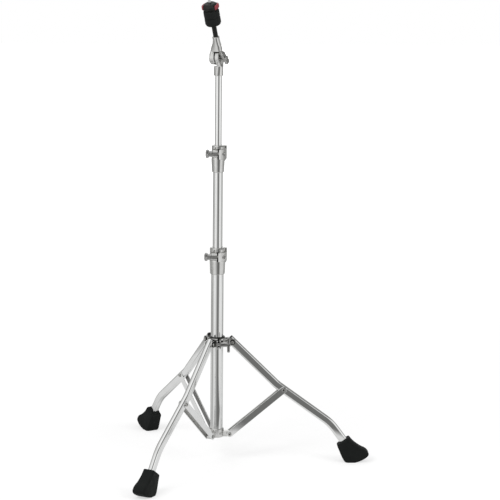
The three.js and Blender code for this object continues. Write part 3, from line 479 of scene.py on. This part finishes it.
def paint_rivet_hole_shade(piece, side):
    """The hole in a tubular rivet's head gets a near-black finish, painted shade of the hollow."""
    corners = [Vector(v.co) for v in piece.data.vertices]
    middle = sum(corners, Vector()) / len(corners)
    across = across_leg(side)

    def radius(corner):
        away = corners[corner] - middle
        return (away - across * away.dot(across)).length / MM

    second_finish(
        piece, "painted_rivet_hole_shade", lambda face: max(map(radius, face.vertices)) < RIVET_HOLE
    )


# %% Rounded copies
CAST_EDGE = 0.5 * MM
SMALL_EDGE = 0.3 * MM
WING_EDGE = 0.9 * MM
BAR_EDGE = 0.7 * MM


def edge_of(name):
    """How far the edges of a node are rounded."""
    if "wing" in name:
        return WING_EDGE
    if name.startswith("brace_") and node_slot[name] == "chrome":
        return BAR_EDGE
    return CAST_EDGE if node_slot[name] == "castings" else SMALL_EDGE


def dress(piece, name):
    """Gives a rounded copy the finishes that its slot alone doesn't."""
    side = next((side for side in leg_turns if side in name.split("_")), None)
    if "wing" in name:
        piece.data.materials[0] = finishes["wing_chrome"]
    elif "pivot_screw" in name:
        darken_washer(piece, side)
    elif name.startswith("brace_pin") or "rivet" in name:
        paint_rivet_hole_shade(piece, side)
    elif name.startswith("brace_"):
        dull_and_shade_inside(piece, side)


made_elsewhere = set(tube_radii) | {
    "cymbal_rod", "cymbal_sleeve", "lower_felt", "upper_felt", "quick_nut",
}
made_elsewhere |= {f"{part}_{side}" for part in ("leg", "foot") for side in leg_turns}
for name in nodes:
    if name not in made_elsewhere:
        edge = edge_of(name)
        dress(refine(name, edge, 3 if edge > CAST_EDGE else 2), name)
print("rounded copies", len(nodes) - len(made_elsewhere))

# %% [markdown]
# ## Legs
# A leg is one steel tube with flat sides and round corners, bent twice and plated. A curve with a
# bevel profile could draw it, but its section may twist or pinch at a bend. Its path is known from
# the folding geometry and lies in one plane, so here the section is set square to the path at
# each station and the stations are joined by faces, outside and inside. Even shading keeps the
# flat sides flat in what they mirror.

# %% The leg's sizes, in millimetres
LEG_WIDTH = 13.0
LEG_HEIGHT = 19.0
LEG_WALL = 1.5
LEG_CORNER = 5.0
LEG_RIM = 0.25
# Distance from the column and height of the top pivot, the two bends and the foot's entry
leg_corners = [(35.3, 283.5), (138, 182), (262.4, 91.5), (292, 51.5)]
leg_bends = [90.0, 110.0]
LEG_END = 9.0  # past the pivot
LEG_IN_FOOT = 38.0
print("bends", len(leg_bends), "of radius", leg_bends)


# %% The leg's path and section
def heading(start, end):
    """The angle of a run above the horizontal."""
    return math.atan2(end[1] - start[1], end[0] - start[0])


def point_beyond(start, end, distance):
    run = Vector(end) - Vector(start)
    return tuple(Vector(end) + run.normalized() * distance)


def bent_path(corners, radii, steps=8):
    """Points and headings along straight runs joined by arcs."""
    stations = [(corners[0], heading(corners[0], corners[1]))]
    for index in range(1, len(corners) - 1):
        before = heading(corners[index - 1], corners[index])
        after = heading(corners[index], corners[index + 1])
        side = math.copysign(1, after - before)
        radius = radii[index - 1]
        run = radius * math.tan(abs(after - before) / 2)
        x = corners[index][0] - run * math.cos(before) - side * radius * math.sin(before)
        z = corners[index][1] - run * math.sin(before) + side * radius * math.cos(before)
        for step in range(steps + 1):
            angle = before + (after - before) * step / steps
            spot = (x + side * radius * math.sin(angle), z - side * radius * math.cos(angle))
            stations.append((spot, angle))
    stations.append((corners[-1], heading(corners[-2], corners[-1])))
    return stations


def rounded_box(half_across, half_side, radius, steps=6):
    """Points of a rectangle with round corners, corner by corner."""
    points = []
    for corner, (up, side) in enumerate(((1, 1), (1, -1), (-1, -1), (-1, 1))):
        for step in range(steps + 1):
            angle = (corner + step / steps) * math.pi / 2
            points.append((
                up * (half_across - radius) + radius * math.sin(angle),
                side * (half_side - radius) + radius * math.cos(angle),
            ))
    return points


def leg_section(margin):
    return rounded_box(LEG_HEIGHT / 2 + margin, LEG_WIDTH / 2 + margin, LEG_CORNER + margin)


def section_at(x, z, angle, margin):
    """The leg's section, larger by a margin, set square to its path at one station."""
    return [
        (x - across * math.sin(angle), sideways, z + across * math.cos(angle))
        for across, sideways in leg_section(margin)
    ]


# %% The leg tubes
def leg_place(turn):
    return Matrix.Translation((AXIS_X, 0, 0)) @ Matrix.Rotation(math.radians(turn), 4, "Z")


def placed_rings(shape, rings, place):
    return [[shape.verts.new(place @ (Vector(point) * MM)) for point in ring] for ring in rings]


def skin(shape, rings, closed=False):
    """Faces between each ring of corners and the next."""
    for first, second in zip(rings, rings[1:] + rings[:1] if closed else rings[1:]):
        for k in range(len(first)):
            after = (k + 1) % len(first)
            shape.faces.new((first[k], first[after], second[after], second[k]))


def leg_mesh(turn):
    corners = [point_beyond(leg_corners[1], leg_corners[0], LEG_END), *leg_corners[1:3]]
    corners.append(point_beyond(leg_corners[2], leg_corners[3], LEG_IN_FOOT))
    stations = bent_path(corners, leg_bends)
    outside = [section_at(x, z, angle, 0) for (x, z), angle in stations]
    inside = [section_at(x, z, angle, -LEG_WALL) for (x, z), angle in stations[::-1]]
    shape = bmesh.new()
    skin(shape, placed_rings(shape, outside + inside, leg_place(turn)), closed=True)
    return closed_mesh("leg_tube", shape)


for side, turn in leg_turns.items():
    leg = new_piece("leg_tube_" + side, leg_mesh(turn), "leg_" + side, bevel=LEG_RIM * MM, steps=2)
    even_shading(leg)
    print(leg.name, len(leg.data.vertices))

# %% [markdown]
# ## Rubber feet
# Each foot is a flared boot of moulded rubber, pushed over the end of its leg. It could be
# sculpted from a box, but its outline is already known at eight stations of the CAD model. Here
# a smooth curve runs through those stations, so that the boot has more rings and no flat facets,
# and a rounded lip goes round the socket that takes the leg.

# %% The boot's sizes, in millimetres
FOOT_ENTRY = leg_corners[3]
FOOT_REACH = 60.0
FOOT_COLLAR, FOOT_SOLE = 28.0, 32.0
FOOT_CORNER = 6.0
SOCKET_GAP = 0.3
SOCKET_DEPTH = LEG_IN_FOOT + 2
LIP = 1.4
LIP_EASE = LIP * 0.3
# Inner and outer edge of the boot at each station, in shares of its reach and of its entry's
# height, then how far its width has grown from the collar's to the sole's
boot_stations = [
    ((-0.235, 0.77), (0.23, 1.145), 0.0),
    ((-0.15, 0.53), (0.4, 0.92), 0.2),
    ((-0.07, 0.31), (0.65, 0.7), 0.55),
    ((0.0, 0.15), (0.88, 0.56), 0.9),
    ((0.045, 0.06), (0.99, 0.39), 1.0),
    ((0.09, 0.01), (0.93, 0.243), 0.97),
    ((0.11, -0.02), (0.72, 0.09), 0.85),
    ((0.14, -0.05), (0.45, -0.02), 0.7),
]
print("boot stations", len(boot_stations))


# %% Rings of the boot and its socket
def between(rows, index, share):
    """A smooth value between two rows of numbers, led by their neighbours on both sides."""
    before, first = rows[max(index - 1, 0)], rows[index]
    second, after = rows[index + 1], rows[min(index + 2, len(rows) - 1)]
    return [
        b + share * (c - a) / 2
        + share ** 2 * (a - 2.5 * b + 2 * c - d / 2)
        + share ** 3 * ((d - a) / 2 + 1.5 * (b - c))
        for a, b, c, d in zip(before, first, second, after)
    ]


def boot_rows(steps=5):
    """Inner edge, outer edge and half width at every ring from the collar to the sole."""
    rows = [
        (FOOT_ENTRY[0] + i[0] * FOOT_REACH, i[1] * FOOT_ENTRY[1],
         FOOT_ENTRY[0] + o[0] * FOOT_REACH, o[1] * FOOT_ENTRY[1],
         (FOOT_COLLAR + (FOOT_SOLE - FOOT_COLLAR) * width) / 2)
        for i, o, width in boot_stations
    ]
    smooth = [between(rows, index, step / steps)
              for index in range(len(rows) - 1) for step in range(steps)]
    return smooth + [list(rows[-1])]


def boot_ring(row, shrink=0.0, sink=0.0):
    """One ring across the boot; a lip is the same ring shrunk, a skirt the same ring sunk."""
    inner, outer, half_width = Vector(row[0:2]), Vector(row[2:4]), row[4]
    middle, along = (inner + outer) / 2, (outer - inner).normalized()
    half_length = (outer - inner).length / 2
    down = Vector((along.y, -along.x))
    ring = []
    for out, side in rounded_box(half_length - shrink, half_width - shrink, FOOT_CORNER - shrink):
        flat = middle + along * out + down * sink
        ring.append((flat.x, side, max(flat.y, 0.0)))
    return ring


def socket_floor():
    """The bottom of the socket, square to the leg's end."""
    angle = heading(leg_corners[2], leg_corners[3])
    x = leg_corners[3][0] + SOCKET_DEPTH * math.cos(angle)
    z = leg_corners[3][1] + SOCKET_DEPTH * math.sin(angle)
    return section_at(x, z, angle, SOCKET_GAP)


def mouth_ring(row):
    """The socket's edge, where the leg's outline and its gap meet the boot's top face."""
    inner, outer = Vector(row[0:2]), Vector(row[2:4])
    flat = (outer - inner).normalized()
    up = Vector((-flat.y, flat.x))
    along = (Vector(leg_corners[3]) - Vector(leg_corners[2])).normalized()
    over = Vector((-along.y, along.x))
    ring = []
    for across, sideways in leg_section(SOCKET_GAP):
        start = Vector(leg_corners[3]) + over * across
        spot = start + along * ((inner - start).dot(up) / along.dot(up))
        ring.append((spot.x, sideways, spot.y))
    return ring


# %% The boots
def boot_mesh(turn):
    rows = boot_rows()
    rings = [
        socket_floor(),
        mouth_ring(rows[0]),
        boot_ring(rows[0], shrink=LIP),
        boot_ring(rows[0], shrink=LIP_EASE, sink=LIP_EASE),
        boot_ring(rows[0], sink=LIP),
    ]
    rings += [boot_ring(row) for row in rows[1:]]
    shape = bmesh.new()
    made = placed_rings(shape, rings, leg_place(turn))
    skin(shape, made)
    shape.faces.new(made[0][::-1])
    shape.faces.new(made[-1])
    return closed_mesh("boot", shape)


for side, turn in leg_turns.items():
    boot = new_piece("boot_" + side, boot_mesh(turn), "foot_" + side)
    print(boot.name, len(boot.data.vertices))

# %% [markdown]
# ## Rod, sleeve, felts and nut
# A cymbal sits on the lower felt, held by the upper felt and the nut, and a nylon sleeve keeps
# its bore off the steel rod. All of them share the leaning axis of the rod. That axis comes from
# the tilter: its pivot lies on the column, its axle is turned 30 degrees, and the rod leans by
# 20.3 degrees. Each could be a Screw modifier on a drawn line, but a list of radii and heights
# turned round the axis can be checked against the CAD figures one by one. The nut isn't round,
# so it is a rounded copy like the castings.

# %% The rod's frame
PIVOT_HEIGHT = 934.0
AXLE_TURN = math.radians(-30)
ROD_LEAN = math.radians(20.3)
ROD_OFFSET = 2.0
rod_place = (
    Matrix.Translation((AXIS_X, 0, PIVOT_HEIGHT * MM))
    @ Matrix.Rotation(AXLE_TURN, 4, "Z")
    @ Matrix.Rotation(ROD_LEAN, 4, "X")
    @ Matrix.Translation((ROD_OFFSET * MM, 0, 0))
)
print("rod direction", [round(value, 4) for value in rod_place.to_3x3() @ Vector((0, 0, 1))])


# %% A helper for turned pieces
def turned_mesh(name, profile, place, sides=72):
    """A profile of (radius, height) in millimetres, turned round Z and set in place."""
    shape = bmesh.new()
    rings = []
    for radius, height in profile:
        if radius == 0:
            rings.append([shape.verts.new(place @ Vector((0, 0, height * MM)))])
            continue
        ring = []
        for side in range(sides):
            angle = 2 * math.pi * side / sides
            point = Vector((radius * math.cos(angle), radius * math.sin(angle), height)) * MM
            ring.append(shape.verts.new(place @ point))
        rings.append(ring)
    closed = profile[0][0] != 0
    for first, second in zip(rings, rings[1:] + rings[:1] if closed else rings[1:]):
        for side in range(sides):
            after = (side + 1) % sides
            corners = [first[side % len(first)], first[after % len(first)]]
            corners += [second[after % len(second)], second[side % len(second)]]
            unique = list(dict.fromkeys(corners))
            if len(unique) > 2:
                shape.faces.new(unique)
    return closed_mesh(name, shape)


# %% Rod and sleeve, in millimetres along the rod from the tilter's pivot
ROD_RADIUS = 3
ROD_BOTTOM, ROD_TOP = 22.3, 143
ROD_TIP = 0.5
rod_profile = [
    (0, ROD_BOTTOM), (ROD_RADIUS, ROD_BOTTOM),
    (ROD_RADIUS, ROD_TOP - ROD_TIP), (ROD_RADIUS - ROD_TIP, ROD_TOP), (0, ROD_TOP),
]
rod = new_piece("rod_turned", turned_mesh("rod_turned", rod_profile, rod_place, 48), "cymbal_rod",
                bevel=0.2 * MM, steps=2)

SLEEVE_BORE, SLEEVE_RADIUS = 3.3, 5.4
SLEEVE_BOTTOM, SLEEVE_TOP = 52.3, 115.4
SEAT_RADIUS, SEAT_SLOPE = 16.2, 1.2
SEAT_BOTTOM, SEAT_TOP = 81, 83.6
sleeve_profile = [
    (SLEEVE_BORE, SLEEVE_BOTTOM), (SLEEVE_RADIUS, SLEEVE_BOTTOM),
    (SLEEVE_RADIUS, SEAT_BOTTOM), (SEAT_RADIUS - SEAT_SLOPE, SEAT_BOTTOM),
    (SEAT_RADIUS, SEAT_BOTTOM + SEAT_SLOPE), (SEAT_RADIUS, SEAT_TOP),
    (SLEEVE_RADIUS, SEAT_TOP), (SLEEVE_RADIUS, SLEEVE_TOP), (SLEEVE_BORE, SLEEVE_TOP),
]
sleeve = new_piece("sleeve_turned", turned_mesh("sleeve_turned", sleeve_profile, rod_place),
                   "cymbal_sleeve", bevel=0.4 * MM)
print("rod", len(rod.data.vertices), "sleeve", len(sleeve.data.vertices))

# %% Felts
FELT_HEIGHT = 15.6
FELT_RADIUS = 17.8
felt_rises = {"lower_felt": 83.9, "upper_felt": 99.8}
lower_half = [(5.8, 0.3), (6.4, 0), (16, 0), (17.2, 0.5), (17.7, 1.8)]
upper_half = [(radius, FELT_HEIGHT - height) for radius, height in reversed(lower_half)]
felt_profile = lower_half + [(FELT_RADIUS, FELT_HEIGHT / 2)] + upper_half
for name, rise in felt_rises.items():
    place = rod_place @ Matrix.Translation((0, 0, rise * MM))
    felt_mesh = turned_mesh(name + "_pressed", felt_profile, place, 96)
    felt = new_piece(name + "_pressed", felt_mesh, name)
    print(felt.name, "from", rise, "to", round(rise + FELT_HEIGHT, 1), "mm along the rod")

# %% Nut
nut = refine("quick_nut", 0.6 * MM, 3)
print(nut.name, len(nut.data.vertices))

# %% [markdown]
# ## Stage, light and camera
# A pale floor and a white surround stand in for the photographer's sweep. Chrome shows only what
# it reflects, and in an all-white studio it would look like white paint. A photographer stands
# dark cards round a chromed thing, out of the picture. Painting the stripes on the tubes would
# be quicker, but they would stay put when the stand turns, so cards are used here too. They stand
# where the photographed tubes show their dark stripes. Some reach below the horizon, because the
# legs and braces lean and mirror what lies low, and the floor itself is darker in a mirror near
# the stand than far from it.

# %% Floor
FLOOR_REACH = 9.0
FLOOR_GREY = 0.5
FLOOR_IN_CHROME = 0.55
FADE_NEAR, FADE_MIDDLE, FADE_FAR = 0.5, 2.9, 5.7

floor_mesh = bpy.data.meshes.new("studio_floor")
floor_corners = [
    (-FLOOR_REACH, -FLOOR_REACH, 0), (FLOOR_REACH, -FLOOR_REACH, 0),
    (FLOOR_REACH, FLOOR_REACH, 0), (-FLOOR_REACH, FLOOR_REACH, 0),
]
floor_mesh.from_pydata(floor_corners, [], [(0, 1, 2, 3)])
floor_finish, tree, shader = new_finish("studio_floor_finish", (FLOOR_GREY,) * 3, 0, 0.9)
shader.inputs["Specular IOR Level"].default_value = 0
floor_mesh.materials.append(floor_finish)
floor = bpy.data.objects.new("studio_floor", floor_mesh)
bpy.context.scene.collection.objects.link(floor)
print("floor", 2 * FLOOR_REACH, "m wide")

# %% The floor's glow, full to the camera and dimmer in a mirror
path = tree.nodes.new("ShaderNodeLightPath")
dimmed = add_math(tree, "MULTIPLY", path.outputs["Is Glossy Ray"], FLOOR_IN_CHROME)
either = add_math(tree, "MAXIMUM", path.outputs["Is Camera Ray"], dimmed)
where = tree.nodes.new("ShaderNodeTexCoord")
reach = tree.nodes.new("ShaderNodeVectorMath")
reach.operation = "LENGTH"
tree.links.new(where.outputs["Object"], reach.inputs[0])
fade_near = add_range(tree, reach.outputs["Value"], (FADE_NEAR, FADE_MIDDLE), (0.6, 0.75))
fade_far = add_range(tree, reach.outputs["Value"], (FADE_MIDDLE, FADE_FAR), (0, 0.63))
fade = add_math(tree, "ADD", fade_near, fade_far)
glow = tree.nodes.new("ShaderNodeEmission")
tree.links.new(add_math(tree, "MULTIPLY", either, fade), glow.inputs["Strength"])
add = tree.nodes.new("ShaderNodeAddShader")
tree.links.new(shader.outputs[0], add.inputs[0])
tree.links.new(glow.outputs[0], add.inputs[1])
tree.links.new(add.outputs[0], tree.nodes["Material Output"].inputs["Surface"])
print("floor nodes", len(tree.nodes))

# %% World, white where it is seen and dimmer as a lamp
WORLD_LIGHT = 0.55
world = bpy.data.worlds.new("studio")
bpy.context.scene.world = world
world.use_nodes = True
tree = world.node_tree
background = tree.nodes["Background"]
background.inputs["Color"].default_value = (1, 1, 1, 1)
path = tree.nodes.new("ShaderNodeLightPath")
seen = add_math(tree, "MAXIMUM", path.outputs["Is Camera Ray"], path.outputs["Is Glossy Ray"])
seen = add_math(tree, "MAXIMUM", seen, path.outputs["Is Transmission Ray"])
level = add_range(tree, seen, (0, 1), (WORLD_LIGHT, 1.0))
tree.links.new(level, background.inputs["Strength"])
print("world nodes", len(tree.nodes))

# %% Lamps
LAMP_SIDE = 2.0
LAMP_AIM = (AXIS_X, 0, 0.5)


def area_lamp(name, place, power):
    light = bpy.data.lights.new(name, "AREA")
    light.shape = "RECTANGLE"
    light.size = LAMP_SIDE
    light.size_y = LAMP_SIDE
    light.energy = power
    lamp = bpy.data.objects.new(name, light)
    lamp.location = place
    lamp.rotation_euler = (Vector(LAMP_AIM) - Vector(place)).to_track_quat("-Z", "Y").to_euler()
    lamp.visible_glossy = False
    bpy.context.scene.collection.objects.link(lamp)
    print(name, power, "W")


area_lamp("key_lamp", place=(-2.2, -2.4, 3.0), power=60)
area_lamp("fill_lamp", place=(2.6, -1.8, 2.2), power=35)

# %% Helpers for cards that only the chrome reflects
CARD_REACH = 3.6
CARD_EYE = 0.45
CARD_LIFT = 0.003
RUG_LIFT = CARD_LIFT * 1.5
SOFT_BELOW, SOFT_ABOVE = 4, 14


def sky_point(azimuth, elevation):
    """A point on a sphere round the stand; azimuth 0 is the camera's side, positive to the right."""
    turn, lift = math.radians(azimuth), math.radians(elevation)
    reach = CARD_REACH
    if lift < 0:
        reach = min(reach, (CARD_EYE - CARD_LIFT) / math.sin(-lift))
    flat = reach * math.cos(lift)
    return Vector((
        AXIS_X + flat * math.sin(turn), -flat * math.cos(turn), CARD_EYE + reach * math.sin(lift)
    ))


def soft_share(value, ends, softness):
    """1 inside a span and falling to 0 at its soft ends."""
    return max(0.0, min(1.0, (value - ends[0]) / softness[0], (ends[1] - value) / softness[1]))


def card_mesh(name, grid):
    """A sheet through a grid of (point, cover), with the cover kept as an attribute."""
    shape = bmesh.new()
    shade = shape.verts.layers.float.new("cover")
    rows = []
    for line in grid:
        row = []
        for point, cover in line:
            corner = shape.verts.new(point)
            corner[shade] = cover
            row.append(corner)
        rows.append(row)
    for low_row, high_row in zip(rows, rows[1:]):
        for k in range(len(low_row) - 1):
            shape.faces.new((low_row[k], low_row[k + 1], high_row[k + 1], high_row[k]))
    return fill_mesh(bpy.data.meshes.new(name), shape)


def card_finish(name, grey):
    """An even grey glow that fades to clear where the cover falls to 0."""
    finish = bpy.data.materials.new(name + "_finish")
    finish.use_nodes = True
    tree = finish.node_tree
    glow = tree.nodes.new("ShaderNodeEmission")
    glow.inputs["Color"].default_value = (*warm_grey(grey), 1)
    clear = tree.nodes.new("ShaderNodeBsdfTransparent")
    cover = tree.nodes.new("ShaderNodeAttribute")
    cover.attribute_name = "cover"
    mix = tree.nodes.new("ShaderNodeMixShader")
    tree.links.new(cover.outputs["Fac"], mix.inputs["Fac"])
    tree.links.new(clear.outputs[0], mix.inputs[1])
    tree.links.new(glow.outputs[0], mix.inputs[2])
    tree.links.new(mix.outputs[0], tree.nodes["Material Output"].inputs["Surface"])
    return finish


def glossy_card(name, grid, grey):
    mesh = card_mesh(name, grid)
    mesh.materials.append(card_finish(name, grey))
    card = bpy.data.objects.new(name, mesh)
    bpy.context.scene.collection.objects.link(card)
    card.visible_camera = False
    card.visible_diffuse = False
    card.visible_shadow = False
    print(name, "grey", grey)


def sky_card(name, azimuths, softness, elevations, grey, steps=36):
    """A card on the sphere, in degrees; softness is that of its left and right ends."""
    grid = []
    for row in range(steps + 1):
        lift = elevations[0] + (elevations[1] - elevations[0]) * row / steps
        height_share = soft_share(lift, elevations, (SOFT_BELOW, SOFT_ABOVE))
        line = []
        for k in range(steps + 1):
            turn = azimuths[0] + (azimuths[1] - azimuths[0]) * k / steps
            cover = soft_share(turn, azimuths, softness) * height_share
            line.append((sky_point(turn, lift), cover))
        grid.append(line)
    glossy_card(name, grid, grey)


def floor_card(name, across, along, softness, grey, steps=24):
    """A rug on the floor; across is measured from the column to the right, along from it back."""
    ends = (softness, softness)
    grid = []
    for row in range(steps + 1):
        y = along[0] + (along[1] - along[0]) * row / steps
        line = []
        for k in range(steps + 1):
            x = across[0] + (across[1] - across[0]) * k / steps
            cover = soft_share(x, across, ends) * soft_share(y, along, ends)
            line.append((Vector((AXIS_X + x, y, RUG_LIFT)), cover))
        grid.append(line)
    glossy_card(name, grid, grey)


# %% The cards
DARK_GREY = 0.17
LEFT_GREY = 0.36
RIGHT_GREY = 0.38
ABOVE_GREY = 0.2
sky_card("card_by_camera", (-36, 42), (40, 20), (-60, 66), DARK_GREY)
sky_card("card_back_left", (-172, -55), (8, 60), (-14, 62), LEFT_GREY)
sky_card("card_behind_low", (-172, -132), (8, 14), (-60, 0), LEFT_GREY)
sky_card("card_left_low", (-112, -55), (6, 40), (-60, 0), LEFT_GREY)
sky_card("card_left_far", (-140, -104), (8, 8), (-24, 0), LEFT_GREY)
floor_card("carpet_by_legs", (0.08, 0.44), (-0.95, -0.2), 0.06, DARK_GREY)
sky_card("card_back_right", (62, 172), (50, 8), (-14, 62), RIGHT_GREY)
sky_card("card_right_low", (132, 172), (14, 8), (-60, 0), RIGHT_GREY)
sky_card("card_right_far", (98, 140), (14, 8), (-24, 0), RIGHT_GREY)
sky_card("card_above_right", (20, 160), (20, 20), (24, 80), ABOVE_GREY)

# %% [markdown]
# ## Camera
# The camera stands where the photograph was taken from: a little above the stand, and far off
# with a long lens, so that the tubes hardly converge. It could be set by eye, but here its place,
# roll and lens were solved from the tubes, collars and feet, whose places are known in both the
# picture and the CAD model. The picture was cropped off centre, which the lens shift repeats.

# %% Camera
CAMERA_DISTANCE = 5209.4
CAMERA_ELEVATION = math.radians(11.148)
CAMERA_AZIMUTH = math.radians(-1.0185)
CAMERA_ROLL = math.radians(0.36)
AIM_HEIGHT = 0.5
FOCAL_PIXELS = 2298.2
PICTURE = 500
PRINCIPAL = (217.534, 248.323)
back = Vector((
    math.sin(CAMERA_AZIMUTH) * math.cos(CAMERA_ELEVATION),
    -math.cos(CAMERA_AZIMUTH) * math.cos(CAMERA_ELEVATION),
    math.sin(CAMERA_ELEVATION),
))
right = Vector((math.cos(CAMERA_AZIMUTH), math.sin(CAMERA_AZIMUTH), 0))
up = back.cross(right)
rolled_right = right * math.cos(CAMERA_ROLL) + up * math.sin(CAMERA_ROLL)
rolled_up = up * math.cos(CAMERA_ROLL) - right * math.sin(CAMERA_ROLL)
spot = Vector((AXIS_X, 0, AIM_HEIGHT)) + back * CAMERA_DISTANCE * MM
turned = Matrix((rolled_right, rolled_up, back)).transposed().to_4x4()
lens = bpy.data.cameras.new("photo_camera")
lens.sensor_fit = "HORIZONTAL"
lens.sensor_width = 36
lens.lens = FOCAL_PIXELS / PICTURE * lens.sensor_width
lens.shift_x = (PICTURE / 2 - PRINCIPAL[0]) / PICTURE
lens.shift_y = (PRINCIPAL[1] - PICTURE / 2) / PICTURE
lens.clip_end = 60
camera = bpy.data.objects.new("photo_camera", lens)
camera.matrix_world = Matrix.Translation(spot) @ turned
bpy.context.scene.collection.objects.link(camera)
bpy.context.scene.camera = camera
bpy.context.scene.view_settings.view_transform = "Standard"
print("camera at", [round(value, 3) for value in spot], "lens", round(lens.lens, 1), "mm")
